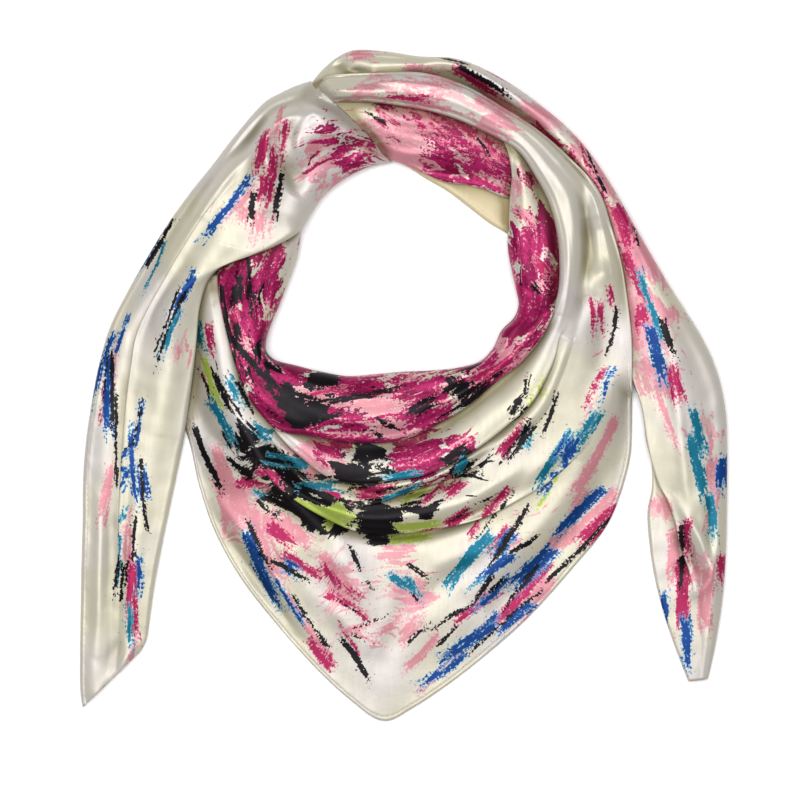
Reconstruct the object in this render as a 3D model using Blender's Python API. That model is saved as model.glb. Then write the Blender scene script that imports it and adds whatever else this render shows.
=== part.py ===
"""A silk square scarf, folded to a triangle, wound into a ring and laid flat.

Each stretch of the wound cloth that shows is one closed solid. It is worked out from a table of
sections across the stretch: where its two edges and its folds lie, and how high its top is there.
The stretches are laid one on another, from the bottom of the heap to its top.
+X is the wearer's left, +Y points to the nape, +Z is up from the surface. Tables are in millimetres.
"""
import math

import bpy
import numpy as np

MM = 0.001

# Cloth and how it lies
LAY_GAP = 0.4  # clear height between two stretches that lie on each other
LEAST_WALL = 1.7  # the thinnest place of any stretch, two plies of silk with air between them
FOLD_HALF = 2.4  # half the width of a fold's rolled lip
FOLD_TUCK = 3.0  # how far the cloth runs back under a full fold's lip
FULL_FOLD = 2.0  # a drop from which a fold rolls over fully
SIDE_ROUND = 0.75  # depth of a rounded side, as a share of its height
SIDE_ANGLES = (0.0, 35.0, 65.0, 90.0)  # places up a rounded side, in degrees
WIDEST_AT = 0.42  # height of a side's widest line, as a share of the side's height

# How finely the sections are read
ROW_STEPS = 2  # spaces between two rows of a table
UNDER_POINTS = 9  # points across an underside

# The grid that keeps the height of what already lies on the surface
CELL = 1.5
HALF_GRID = 210.0
REACH = 10.5  # an underside clears everything this near to each of its points

# Sections. Each row has its first edge, then its folds, then its last edge. An edge is x, y and the
# height of the cloth by it. A fold is x, y, the height of its crest and the drop past its lip.

# The outer winding: across the nape, over the left shoulder and down to the tail's tip.
# outer edge | fold that lies over the inner edge | inner edge
LEFT_WINDING = (
    (-56, 159, 7, -52, 151, 7, 0, -50, 147, 6),
    (-45, 174, 10, -41, 165, 10.5, 0, -40, 159, 8),
    (-30, 184, 13, -30, 170, 15, 0, -29, 162, 9),
    (-12, 184, 14, -12, 171, 15, 0, -12, 163, 9),
    (8, 181, 14, 8, 172, 14, 0, 8, 163, 8),
    (30, 179.5, 14, 29, 167, 8.5, 0, 22, 157, 6.5),
    (52, 170, 14, 46, 157.5, 8, 0, 38, 148, 6),
    (75, 154.5, 14, 64.5, 143, 10, 0, 57, 135, 6.5),
    (96, 136, 13, 82, 129, 11, 0, 75, 122, 6),
    (113, 112.5, 13, 100, 108, 11, 0, 93, 103, 6),
    (130, 83, 12, 112, 81, 11, 0, 105, 79, 6),
    (147, 54, 12, 119, 51, 10, 0, 112, 49, 6),
    (164, 28, 11, 121, 24, 10, 1, 119, 22, 5),
    (174, 8, 10, 125, 5, 9, 2, 127.5, 3, 4),
    (177.5, -14, 9.5, 130.5, -12, 8.5, 3, 133, -13, 3.5),
    (178.5, -36, 9, 134, -34, 8, 3.5, 136, -36, 3),
    (178.5, -54, 8.5, 139.5, -53, 7.5, 3.5, 137, -55, 3),
    (178.3, -70, 8, 147, -69, 7, 3.2, 134.5, -70, 3),
    (178, -86, 7.5, 151.5, -86, 6.5, 2.4, 135.5, -87, 3),
    (177.3, -102, 7, 156, -101, 5.5, 1.2, 138, -104, 3),
    (175.7, -120, 6, 158.5, -118, 4.5, 0.3, 142, -121, 3),
    (173, -138, 5, 160, -136, 4, 0, 147.5, -138.5, 2.8),
    (170.5, -151, 4, 161, -150, 3.4, 0, 152.5, -152, 2.5),
    (168, -162, 2.6, 162, -163, 2.6, 0, 157, -163.5, 2.2),
)

# The hemmed edge at the nape that shows its wrong side.
# edge under the nape fold | hem
BACK_HEM = (
    (-10, 135, 5, -9, 125, 3),
    (3, 131, 5, 1, 121, 3),
    (16, 127, 5, 12, 114, 3),
    (30, 121, 5, 24, 107, 3),
    (44, 116, 5, 36, 98, 3),
    (58, 110, 5, 47, 89.5, 3),
    (68, 100, 5, 58, 83, 3),
    (74, 92, 5, 65, 78, 3),
)

# The fold inside the nape. edge under the back roll | lower edge
NAPE_FOLD = (
    (-48, 158, 12, -24, 125, 8),
    (-26, 162, 13, -8, 124, 8),
    (-5, 160, 13, 9, 117.5, 8),
    (14, 157, 13, 22, 112, 8),
    (32, 150, 13, 35, 110, 8),
    (48, 143, 13, 46, 107, 8),
    (58, 136, 12, 56, 103, 8),
    (66, 127, 11, 66, 102, 7),
)

# The roll inside the left shoulder. edge at the neck opening | edge under the shoulder
SHOULDER_ROLL = (
    (52, 139, 12, 68, 136, 12),
    (57, 127, 13, 75, 122, 13),
    (59, 115, 14, 82, 110, 13),
    (58, 102, 14, 87, 99, 13),
    (57.5, 89, 14, 90, 87, 13),
    (57, 77, 14, 91, 75, 13),
    (59, 64, 14, 91, 61, 13),
    (62, 51, 13, 89, 48, 13),
    (64, 41, 11, 85, 38, 11),
    (60, 33, 8, 79, 29, 8),
)

# The front: from the roll behind the neck, over the left shoulder, through the cowl and the
# hanging point, to the right shoulder. neck edge | three cowl folds | hem
FRONT = (
    (-48.5, 156, 9, -49, 158, 9.5, 0, -49.5, 160, 9.5, 0, -50, 162, 9.5, 0, -50.5, 164, 9),
    (-42, 155, 12.5, -42.8, 158.5, 14, 0, -43.5, 162, 14.5, 0, -44.2, 165.5, 14, 0, -45, 168.5, 12.5),
    (-34, 155, 15, -35, 159, 18, 0, -36, 163, 18.5, 0, -37, 166.5, 18, 0, -38, 170, 15),
    (-16, 154.5, 18, -16, 159, 22, 0, -16, 163, 23, 0, -16, 167, 22, 0, -16, 171, 18),
    (8, 151, 18, 8, 156, 22, 0, 9, 161, 23, 0, 9, 166, 22, 0, 10, 171, 18),
    (27, 146, 19, 29, 151, 22, 0, 30, 156, 23, 0, 32, 161, 22, 0, 33, 164.5, 18),
    (46, 137.5, 20, 51, 147, 22.5, 0, 52, 149, 22, 0, 53, 150.8, 21, 0, 54, 152.5, 18),
    (62, 128, 21, 70, 137.5, 21.5, 0, 70.8, 138.5, 21, 0, 71.6, 139.5, 20.5, 0, 72.5, 140.5, 17),
    (72, 113.5, 21, 87, 122.5, 20, 0, 88, 123.3, 20, 0, 89, 124, 19.5, 0, 90.5, 125, 16),
    (79, 100, 21, 98, 105, 19, 0, 100, 105.5, 19.5, 0, 103, 106.2, 19.5, 0, 106.5, 107, 16),
    (83.5, 83, 21, 99.5, 84.5, 18.5, 0, 103, 85, 18.5, 0, 109, 85.5, 18.5, 0, 114, 86, 15),
    (85, 66, 21, 99.5, 66, 18, 0, 103.5, 66, 17.5, 0, 112, 66, 17, 0, 119.5, 66, 13),
    (84, 50, 20.5, 98.5, 49.5, 17.5, 0, 102.5, 49, 17, 0, 114, 48.5, 15.5, 0, 122.5, 48, 11.5),
    (79, 38, 18, 94, 34, 17, 0, 98, 33, 16.5, 0, 114, 29, 13, 0, 125, 26, 9),
    (70, 30, 14, 88, 24, 16.5, 0.8, 95, 20.5, 15, 0, 114, 10, 11, 0, 125.5, 4, 5),
    (60, 18.5, 13, 80, 8, 16.5, 3, 88.5, 1.5, 13, 0, 110, -14, 9.5, 0, 126, -22, 3),
    (48, 8.5, 12, 70, -10, 16.5, 5, 79, -19, 11.5, 0, 99, -36, 9, 0.4, 124, -45, 2.2),
    (36, 0, 12, 58, -21, 16.5, 5.5, 65.5, -30.5, 11.5, 0, 83, -51, 9, 1.6, 113, -76, 2),
    (24, -9, 12, 45, -31.5, 16.5, 5.5, 49, -39.5, 12, 0.6, 64, -63, 9.5, 2.8, 93, -101.5, 1.8),
    (11, -17, 12, 29, -42, 16.5, 5, 30, -50, 12.5, 2, 44, -73, 9.5, 3.8, 66, -131, 1.8),
    (-3, -22.5, 12, 11, -49.5, 16, 4.5, 12, -56, 13, 3.2, 24, -78.5, 9.5, 4.6, 33, -159, 1.8),
    (-15, -24.5, 12, -4, -52, 16, 4, -3, -61, 13.5, 4, 3, -81.5, 9.5, 5, 4, -179, 1.8),
    (-23, -24.5, 12, -17, -53.5, 16, 4, -15, -65, 13.5, 4, -12, -82.2, 9.5, 5, -12, -185.5, 1.8),
    (-32, -23.5, 12, -30, -54, 16, 4, -28, -66, 13.5, 4, -27, -80.5, 9.5, 5, -29, -172.5, 1.8),
    (-44, -20.5, 12, -42, -50.5, 15.5, 4, -41, -61.5, 13, 4, -41, -73.5, 9.5, 4, -48, -154, 1.8),
    (-56, -18, 12, -54, -41, 15, 3.4, -56, -51, 13, 2.6, -57.5, -62, 11, 3, -70, -130, 1.8),
    (-65, -15, 12, -64.5, -32.5, 14.5, 2, -68, -39.5, 13, 1.4, -73, -48.5, 12, 2.6, -89, -105.5, 1.8),
    (-73, -8, 12, -75.5, -19.5, 14, 0.6, -80.5, -25, 13.5, 0.3, -87, -31, 13, 2.4, -104, -80, 1.8),
    (-80, 1, 12, -84.5, -6, 14, 0, -90, -10, 14, 0, -97.5, -15, 13.5, 2.2, -112.5, -54, 2),
    (-84, 13, 12, -90, 9, 14, 0, -96, 7, 14, 0, -103, 4, 13.5, 1.8, -118, -34, 2.5),
    (-87, 27, 12, -94, 26, 14, 0, -100, 25, 14, 0, -106.5, 23.5, 13.5, 1.2, -124, -12, 3),
    (-91, 44, 12, -98, 44, 13.5, 0, -103, 44, 13.5, 0, -109.5, 43.5, 13, 0.6, -127, 12, 4),
    (-97, 62, 11, -103, 61, 12, 0, -107, 60.5, 12, 0, -112, 60, 11.5, 0, -128, 34, 5),
)

# The roll round the front of the neck. edge at the neck opening | lip over the cowl
NECK_ROLL = (
    (66, 44, 14, 80, 43, 19),
    (60, 36.5, 17, 80, 35, 20),
    (53.5, 30, 18, 75, 25.5, 19),
    (49, 20.5, 18, 64, 12, 18),
    (41.5, 13, 18, 51, 2, 18),
    (29, 9.5, 18, 36, -11, 18),
    (14, 8, 18, 18, -22, 18),
    (-1, 7.3, 18, 0, -30, 18),
    (-16, 6, 18, -18, -32, 18),
    (-31, 5, 18, -37, -30.5, 18),
    (-46, 7.5, 18, -54, -27.5, 18),
    (-60, 11, 18, -69, -25, 18),
    (-70, 13.5, 18, -79, -15.5, 18),
    (-75, 17.5, 17, -87, -3.5, 18),
    (-76, 22.5, 17, -92, 10, 18),
    (-74, 31, 17, -96, 24, 17),
    (-69, 43, 16, -99.5, 39, 17),
    (-64, 56, 16, -102, 55, 17),
    (-59, 70, 15, -102, 70, 16),
    (-57, 82, 14, -96, 84, 14),
    (-58, 93, 12, -86, 95, 12),
)

# The upper winding: from the nape over the right shoulder and down to the tail's slanted end.
# inner edge | lengthwise fold | outer edge
RIGHT_WINDING = (
    (-7, 122.5, 14, -27, 145, 22, 0, -52, 168, 19.5),
    (-13, 121.5, 14.5, -38, 145.5, 24, 0, -60, 165, 19),
    (-21, 119.5, 15.5, -49, 145, 25, 0, -68, 161, 18.3),
    (-32, 114, 16, -64, 141, 25, 0, -78, 155, 13),
    (-44, 104.5, 17, -81, 126, 24, 0, -93, 138, 11),
    (-52, 93, 19, -96, 110, 22, 0.5, -106, 121, 11),
    (-58, 83.5, 21, -109, 95, 20, 1, -118, 106, 10),
    (-70, 76, 21.5, -121, 76, 18, 1.5, -130, 87, 10),
    (-85, 70, 21, -131.5, 58, 16, 2, -141, 66, 9),
    (-98, 65.5, 20, -141, 41, 14, 2, -151, 48, 8.5),
    (-107, 57, 18, -147.5, 26, 12, 2, -160, 31, 8),
    (-112, 42, 15, -150.5, 9, 10.5, 2, -167, 12, 7.5),
    (-114, 22, 12, -153, -9, 9, 2, -171, -6, 7),
    (-117.5, -4, 9, -155, -31, 8, 2, -174.5, -28, 6.5),
    (-121.5, -30, 7, -156.5, -54, 7.2, 1.8, -176.5, -51, 6),
    (-127, -57, 6, -158, -78, 6.5, 1.2, -177.5, -75, 5.5),
    (-132.5, -83, 5.5, -159, -102, 5.8, 0.5, -178.2, -100, 5),
    (-137.5, -109, 5, -160, -125, 5, 0, -178.6, -126, 4.5),
    (-140.5, -130, 4, -161, -145, 4.2, 0, -179, -150, 4),
    (-142, -140, 3, -161.5, -157, 3.4, 0, -178.8, -168, 3),
    (-145, -146.5, 2.4, -162, -163, 2.4, 0, -177.6, -178, 2.2),
)

# The stretches in the order in which they lie, lowest first: name, sections, the crown of each
# space between an edge and a fold as a share of its width, the points across each of those spaces,
# and the colour that shows most.
CREAM = (0.86, 0.84, 0.74)
PALE_PINK = (0.80, 0.50, 0.56)
MAGENTA = (0.55, 0.05, 0.20)
WRONG_SIDE = (0.76, 0.68, 0.46)
STRETCHES = (
    ("left_winding", LEFT_WINDING, (0.07, 0.02), (2, 1), CREAM),
    ("back_hem", BACK_HEM, (0.02,), (2,), WRONG_SIDE),
    ("nape_fold", NAPE_FOLD, (0.09,), (3,), PALE_PINK),
    ("shoulder_roll", SHOULDER_ROLL, (0.12,), (3,), MAGENTA),
    ("front", FRONT, (0.07, 0.08, 0.06, 0.01), (1, 1, 1, 3), CREAM),
    ("neck_roll", NECK_ROLL, (0.11,), (3,), MAGENTA),
    ("right_winding", RIGHT_WINDING, (0.06, 0.07), (3, 1), CREAM),
)


def clear_scene():
    for thing in list(bpy.data.objects):
        bpy.data.objects.remove(thing, do_unlink=True)


def read_rows(rows, steps):
    """The table's rows, with others between them on a Catmull-Rom curve through each column."""
    table = np.array(rows, float)
    padded = np.vstack([2 * table[0] - table[1], table, 2 * table[-1] - table[-2]])
    result = []
    for index in range(len(table) - 1):
        before, start, end, after = padded[index : index + 4]
        for step in range(steps):
            t = step / steps
            result.append(
                start
                + 0.5 * t * (end - before)
                + 0.5 * t**2 * (2 * before - 5 * start + 4 * end - after)
                + 0.5 * t**3 * (3 * start - before - 3 * end + after)
            )
    result.append(table[-1])
    return result


class Heap:
    """The height of all the cloth laid so far, and what an underside has to clear."""

    def __init__(self):
        count = int(2 * HALF_GRID / CELL)
        self.height = np.zeros((count, count))
        self.cleared = self.height

    def cells(self, xy):
        return np.clip(((xy + HALF_GRID) / CELL).astype(int), 0, len(self.height) - 1)

    def underside(self, xy):
        """Heights at which an underside lies at these points: on the surface, or on other cloth."""
        column, row = self.cells(np.asarray(xy)).T
        below = self.cleared[column, row]
        return np.where(below > 0, below + LAY_GAP, 0.0)

    def lay(self, tops):
        """Adds a stretch, given the points of its top as rows of sections."""
        fine = 8
        for a in np.linspace(0, 1, fine):
            along = tops[:-1] * (1 - a) + tops[1:] * a
            for b in np.linspace(0, 1, fine):
                spots = (along[:, :-1] * (1 - b) + along[:, 1:] * b).reshape(-1, 3)
                column, row = self.cells(spots[:, :2]).T
                np.maximum.at(self.height, (column, row), spots[:, 2])
        reach = int(REACH / CELL)
        self.cleared = self.height.copy()
        for dx in range(-reach, reach + 1):
            for dy in range(-reach, reach + 1):
                if math.hypot(dx, dy) * CELL <= REACH:
                    moved = np.roll(self.height, (dx, dy), (0, 1))
                    self.cleared = np.maximum(self.cleared, moved)


def side(edge, inward, top, under, room):
    """Points up a rounded side, from its widest line to the top, and how deep the rounding is."""
    depth = min(SIDE_ROUND * (top - under), 0.3 * room)
    widest = under + WIDEST_AT * (top - under)
    points = []
    for degrees in SIDE_ANGLES:
        angle = math.radians(degrees)
        place = edge + inward * depth * (1 - math.cos(angle))
        points.append((*place, widest + (top - widest) * math.sin(angle)))
    return points, depth


def fold(place, outward, crest, drop, slope, room_before, room_after):
    """Points over a fold's lip: its crest, its lip, and the place where the cloth runs back to.

    Where the drop dies out, they lie on the plain surface, which rises outward by the slope.
    """
    strength = min(1.0, drop / FULL_FOLD)
    half = min(FOLD_HALF, 0.3 * room_before, 0.3 * max(room_after, FOLD_TUCK))
    tuck = min(FOLD_TUCK, 0.5 * room_before)
    lip = half * (0.85 * strength - 0.35)
    back = 0.35 * half * (1 - strength) - tuck * strength
    plain = slope * (1 - strength)
    return [
        (*(place - outward * half), crest - plain * half),
        (*(place + outward * lip), crest + plain * lip - 0.3 * drop),
        (*(place + outward * back), crest + plain * back - drop),
    ]


def between(start, end, crown, count):
    """Points across the space from start to end, raised in the middle by a share of its width."""
    start, end = np.array(start), np.array(end)
    rise = crown * np.linalg.norm(end[:2] - start[:2])
    points = []
    for index in range(1, count + 1):
        share = index / (count + 1)
        spot = start + (end - start) * share
        spot[2] += 4 * rise * share * (1 - share)
        points.append(tuple(spot))
    return points


def section(row, crowns, counts, heap):
    """The top and the underside of one section, both from the first edge to the last."""
    edges = np.array([row[:3], row[-3:]])
    folds = row[3:-3].reshape(-1, 4)
    places = np.vstack([edges[0, :2], folds[:, :2], edges[1, :2]])
    edge_unders = heap.underside(places[[0, -1]])
    edge_tops = np.maximum(edges[:, 2], edge_unders + LEAST_WALL)

    first_way = (places[1] - places[0]) / np.linalg.norm(places[1] - places[0])
    last_way = (places[-1] - places[0]) / np.linalg.norm(places[-1] - places[0])
    crests = [edge_tops[0], *folds[:, 2], edge_tops[1]]
    drops = [0.0, *np.maximum(folds[:, 3], 0.0)]

    room = np.linalg.norm(places[1] - places[0])
    top, first_depth = side(places[0], first_way, edge_tops[0], edge_unders[0], room)
    for index in range(1, len(places) - 1):
        span = np.linalg.norm(places[index + 1] - places[index - 1])
        way = (places[index + 1] - places[index - 1]) / span
        slope = (crests[index + 1] - crests[index - 1] + drops[index - 1]) / span
        room_after = float((places[index + 1] - places[index]) @ way)
        lip = fold(places[index], way, crests[index], drops[index], slope, room, room_after)
        top += between(top[-1], lip[0], crowns[index - 1], counts[index - 1]) + lip
        room = room_after
    last_room = float((places[-1] - np.array(top[-1][:2])) @ last_way)
    end_side, last_depth = side(places[-1], -last_way, edge_tops[1], edge_unders[1], last_room)
    top += between(top[-1], end_side[-1], crowns[-1], counts[-1]) + end_side[::-1]
    top = np.array(top)

    start = places[0] + first_way * 0.4 * first_depth
    end = places[-1] - last_way * 0.4 * last_depth
    stops = [start, *places[1:-1], end]
    lengths = [0.0, *np.cumsum([np.linalg.norm(b - a) for a, b in zip(stops, stops[1:])])]
    spread = np.linspace(0, lengths[-1], UNDER_POINTS)
    under = np.column_stack([np.interp(spread, lengths, [s[axis] for s in stops]) for axis in (0, 1)])
    under = np.column_stack([under, heap.underside(under)])

    inner = slice(len(SIDE_ANGLES), len(top) - len(SIDE_ANGLES))
    clear = heap.underside(top[inner, :2]) + LEAST_WALL
    top[inner, 2] = np.maximum(top[inner, 2], clear)
    return top, under


def loft(tops, unders):
    """Vertices and faces of a closed solid through the sections, with a flat cap at each end."""
    rings = np.concatenate([tops, unders[:, ::-1]], axis=1)
    stations, size = rings.shape[:2]
    faces = []
    for station in range(stations - 1):
        here, there = station * size, (station + 1) * size
        for point in range(size):
            following = (point + 1) % size
            faces.append((here + point, here + following, there + following, there + point))
    faces.append(tuple(reversed(range(size))))
    faces.append(tuple((stations - 1) * size + point for point in range(size)))
    return rings.reshape(-1, 3), faces


def material(name, colour):
    made = bpy.data.materials.new(name)
    made.use_nodes = True
    shader = made.node_tree.nodes["Principled BSDF"]
    shader.inputs["Base Color"].default_value = (*colour, 1.0)
    shader.inputs["Roughness"].default_value = 0.38
    shader.inputs["Metallic"].default_value = 0.0
    return made


def add_object(name, points, faces, colour):
    mesh = bpy.data.meshes.new(name)
    mesh.from_pydata([tuple(point * MM) for point in points], [], faces)
    mesh.validate()
    mesh.shade_smooth()
    mesh.materials.append(material(name + "_silk", colour))
    thing = bpy.data.objects.new(name, mesh)
    bpy.context.scene.collection.objects.link(thing)
    return thing


def faces_outward(points, faces):
    """The faces, turned round if the solid that they close would be inside out."""
    volume = 0.0
    for face in faces:
        for second, third in zip(face[1:], face[2:]):
            volume += points[face[0]] @ np.cross(points[second], points[third])
    return faces if volume > 0 else [face[::-1] for face in faces]


def main():
    clear_scene()
    heap = Heap()
    solids = []
    for name, rows, crowns, counts, colour in STRETCHES:
        parts = [section(row, crowns, counts, heap) for row in read_rows(rows, ROW_STEPS)]
        tops = np.array([top for top, under in parts])
        unders = np.array([under for top, under in parts])
        heap.lay(tops)
        points, faces = loft(tops, unders)
        solids.append((name, points, faces_outward(points, faces), colour))
    everything = np.vstack([points for name, points, faces, colour in solids])
    middle = (everything.min(axis=0) + everything.max(axis=0)) / 2
    for name, points, faces, colour in solids:
        add_object(name, points - (middle[0], middle[1], 0.0), faces, colour)


main()
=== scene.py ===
"""The silk square scarf as it looks: each stretch of the wound cloth as a smooth silk form.

The forms are worked out from tables of sections like those of the solids they replace, read more
finely, with rolled hems, soft creases and a painted print. Tables are in millimetres.
"""

import math
from collections import namedtuple

import bpy
import numpy as np
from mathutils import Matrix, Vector


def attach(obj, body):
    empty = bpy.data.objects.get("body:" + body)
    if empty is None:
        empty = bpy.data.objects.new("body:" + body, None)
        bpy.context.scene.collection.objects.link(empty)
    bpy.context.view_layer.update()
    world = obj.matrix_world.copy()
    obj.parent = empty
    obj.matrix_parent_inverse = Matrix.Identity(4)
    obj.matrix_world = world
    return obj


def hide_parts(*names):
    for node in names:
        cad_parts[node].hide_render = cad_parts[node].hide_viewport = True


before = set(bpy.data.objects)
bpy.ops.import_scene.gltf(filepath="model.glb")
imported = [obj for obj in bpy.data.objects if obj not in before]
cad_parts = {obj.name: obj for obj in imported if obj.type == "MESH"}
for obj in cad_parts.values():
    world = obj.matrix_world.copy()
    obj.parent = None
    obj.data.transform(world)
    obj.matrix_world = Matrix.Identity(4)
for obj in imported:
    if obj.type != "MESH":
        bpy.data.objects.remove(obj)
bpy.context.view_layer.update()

MM = 0.001
CENTRE = np.array((-0.2125, -0.34375, 0.0))  # middle of the tables' own box, where the frame's origin is

# Cloth and how it lies
LAY_GAP = 0.25  # clear height between two stretches that lie on each other
LEAST_WALL = 0.8  # the thinnest place of any stretch
FOLD_HALF = 3.2  # half the width of a fold's rolled lip
FOLD_TUCK = 6.5  # how far the cloth runs back under a full fold's lip
FOLD_NOSE = 1.15  # radius of that lip
LIP_SHARE = 0.3  # how much of the room beside it, or of its drop, a lip or a side takes at most
TUCK_SHARE = 0.55  # how much of the room before it a tuck takes at most
LIP_ANGLES = (75, 50, 25, 0, -30, -60, -88)  # places round the lip, in degrees
TURN_ANGLES = (100, 140, 180, 220, 260)  # places round the turn at the tuck's end
FULL_FOLD = 2.0  # a drop from which a fold rolls over fully
PLAIN_CROWN = 0.15  # the share of its crown that a space keeps between two places without a fold
SIDE_ROUND = 0.75  # depth of a rounded side, as a share of its height
SCALLOP = (0.5, 0.25)  # depth between two plies: the most in mm, and the share of a ply's height
WIDEST_AT = 0.42  # height of a side's widest line, as a share of the side's height
UP_ANGLES = tuple(range(0, 91, 9))  # places from the widest line to the top, in degrees
DOWN_ANGLES = (-82, -60, -38, -18)  # places from the underside to the widest line

CELL = 1.0
HALF_GRID = 205.0
LAY_FINE = 4  # places each way, in each face of a top, that raise the heap
REACH = 2.6  # an underside clears everything this near to each of its points
EASE = 5.0  # length over which an edge comes up onto other cloth

# Sections. Each row has its first edge, then its folds, then its last edge. An edge is x, y and the
# height of the cloth by it. A fold is x, y, the height of its crest and the drop past its lip.

# The outer winding: across the nape, over the left shoulder and down to the tail's tip.
# outer edge | fold that lies over the inner edge | inner edge
LEFT_WINDING = (
    (-56, 159, 7, -52, 151, 7, 0, -50, 147, 6),
    (-45, 174, 10, -41, 165, 10.5, 0, -40, 159, 8),
    (-30, 184, 13, -30, 170, 15, 0, -29, 162, 9),
    (-12, 184, 14, -12, 171, 15, 0, -12, 163, 9),
    (8, 181, 14, 8, 172, 14, 0, 8, 163, 8),
    (30, 179.5, 14, 29, 167, 8.5, 0, 22, 157, 6.5),
    (52, 170, 14, 46, 157.5, 8, 0, 38, 148, 6),
    (75, 154.5, 14, 64.5, 143, 10, 0, 57, 135, 6.5),
    (96, 136, 13, 82, 129, 11, 0, 75, 122, 6),
    (113, 112.5, 13, 100, 108, 11, 0, 93, 103, 6),
    (130, 83, 12, 112, 81, 11, 0, 105, 79, 6),
    (147, 54, 12, 119, 51, 10, 0, 112, 49, 6),
    (163.4, 28, 11, 121, 24, 10, 1, 119, 22, 5),
    (172.6, 8, 10, 125, 5, 9, 2, 127.5, 3, 4),
    (177.5, -14, 9.5, 130.5, -12, 8.5, 3, 133, -13, 3.5),
    (178.5, -36, 9, 134, -34, 8, 3.5, 136, -36, 3),
    (178.5, -54, 8.5, 139.5, -53, 7.5, 3.5, 137, -55, 3),
    (178.3, -70, 8, 147, -69, 7, 3.2, 134.5, -70, 3),
    (178, -86, 7.5, 151.5, -86, 6.5, 2.4, 135.5, -87, 3),
    (177.3, -102, 7, 156, -101, 5.5, 1.2, 138, -104, 3),
    (175.7, -120, 6, 158.5, -118, 4.5, 0.3, 142, -121, 3),
    (173, -138, 5, 160, -136, 4, 0, 147.5, -138.5, 2.8),
    (170.5, -151, 4, 161, -150, 3.4, 0, 152.5, -152, 2.5),
    (168, -162, 2.6, 162, -163, 2.6, 0, 157, -163.5, 2.2),
)

# The hemmed edge at the nape that shows its wrong side.
# edge under the nape fold | hem
BACK_HEM = (
    (-10, 135, 5, -9, 125, 3),
    (3, 131, 5, 1, 121, 3),
    (16, 127, 5, 12, 114, 3),
    (30, 121, 5, 24, 107, 3),
    (44, 116, 5, 36, 98, 3),
    (58, 110, 5, 47, 89.5, 3),
    (68, 100, 5, 58, 83, 3),
    (74, 92, 5, 65, 78, 3),
)

# The fold inside the nape. edge under the back roll | lower edge
NAPE_FOLD = (
    (-48, 158, 12, -24, 125, 8),
    (-26, 162, 13, -8, 124, 8),
    (-5, 160, 13, 9, 117.5, 8),
    (14, 157, 13, 22, 112, 8),
    (32, 150, 13, 35, 110, 8),
    (48, 143, 13, 46, 107, 8),
    (58, 136, 12, 56, 103, 8),
    (66, 127, 11, 66, 102, 7),
)

# The roll inside the left shoulder. edge at the neck opening | edge under the shoulder
SHOULDER_ROLL = (
    (52, 139, 12, 68, 136, 12),
    (57, 127, 13, 75, 122, 13),
    (59, 115, 14, 82, 110, 13),
    (58, 102, 14, 87, 99, 13),
    (57.5, 89, 14, 90, 87, 13),
    (57, 77, 14, 91, 75, 13),
    (59, 64, 14, 91, 61, 13),
    (62, 51, 13.5, 88, 48.5, 13.5),
    (63.6, 44.5, 15, 84, 44.5, 15.5),
)

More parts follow.
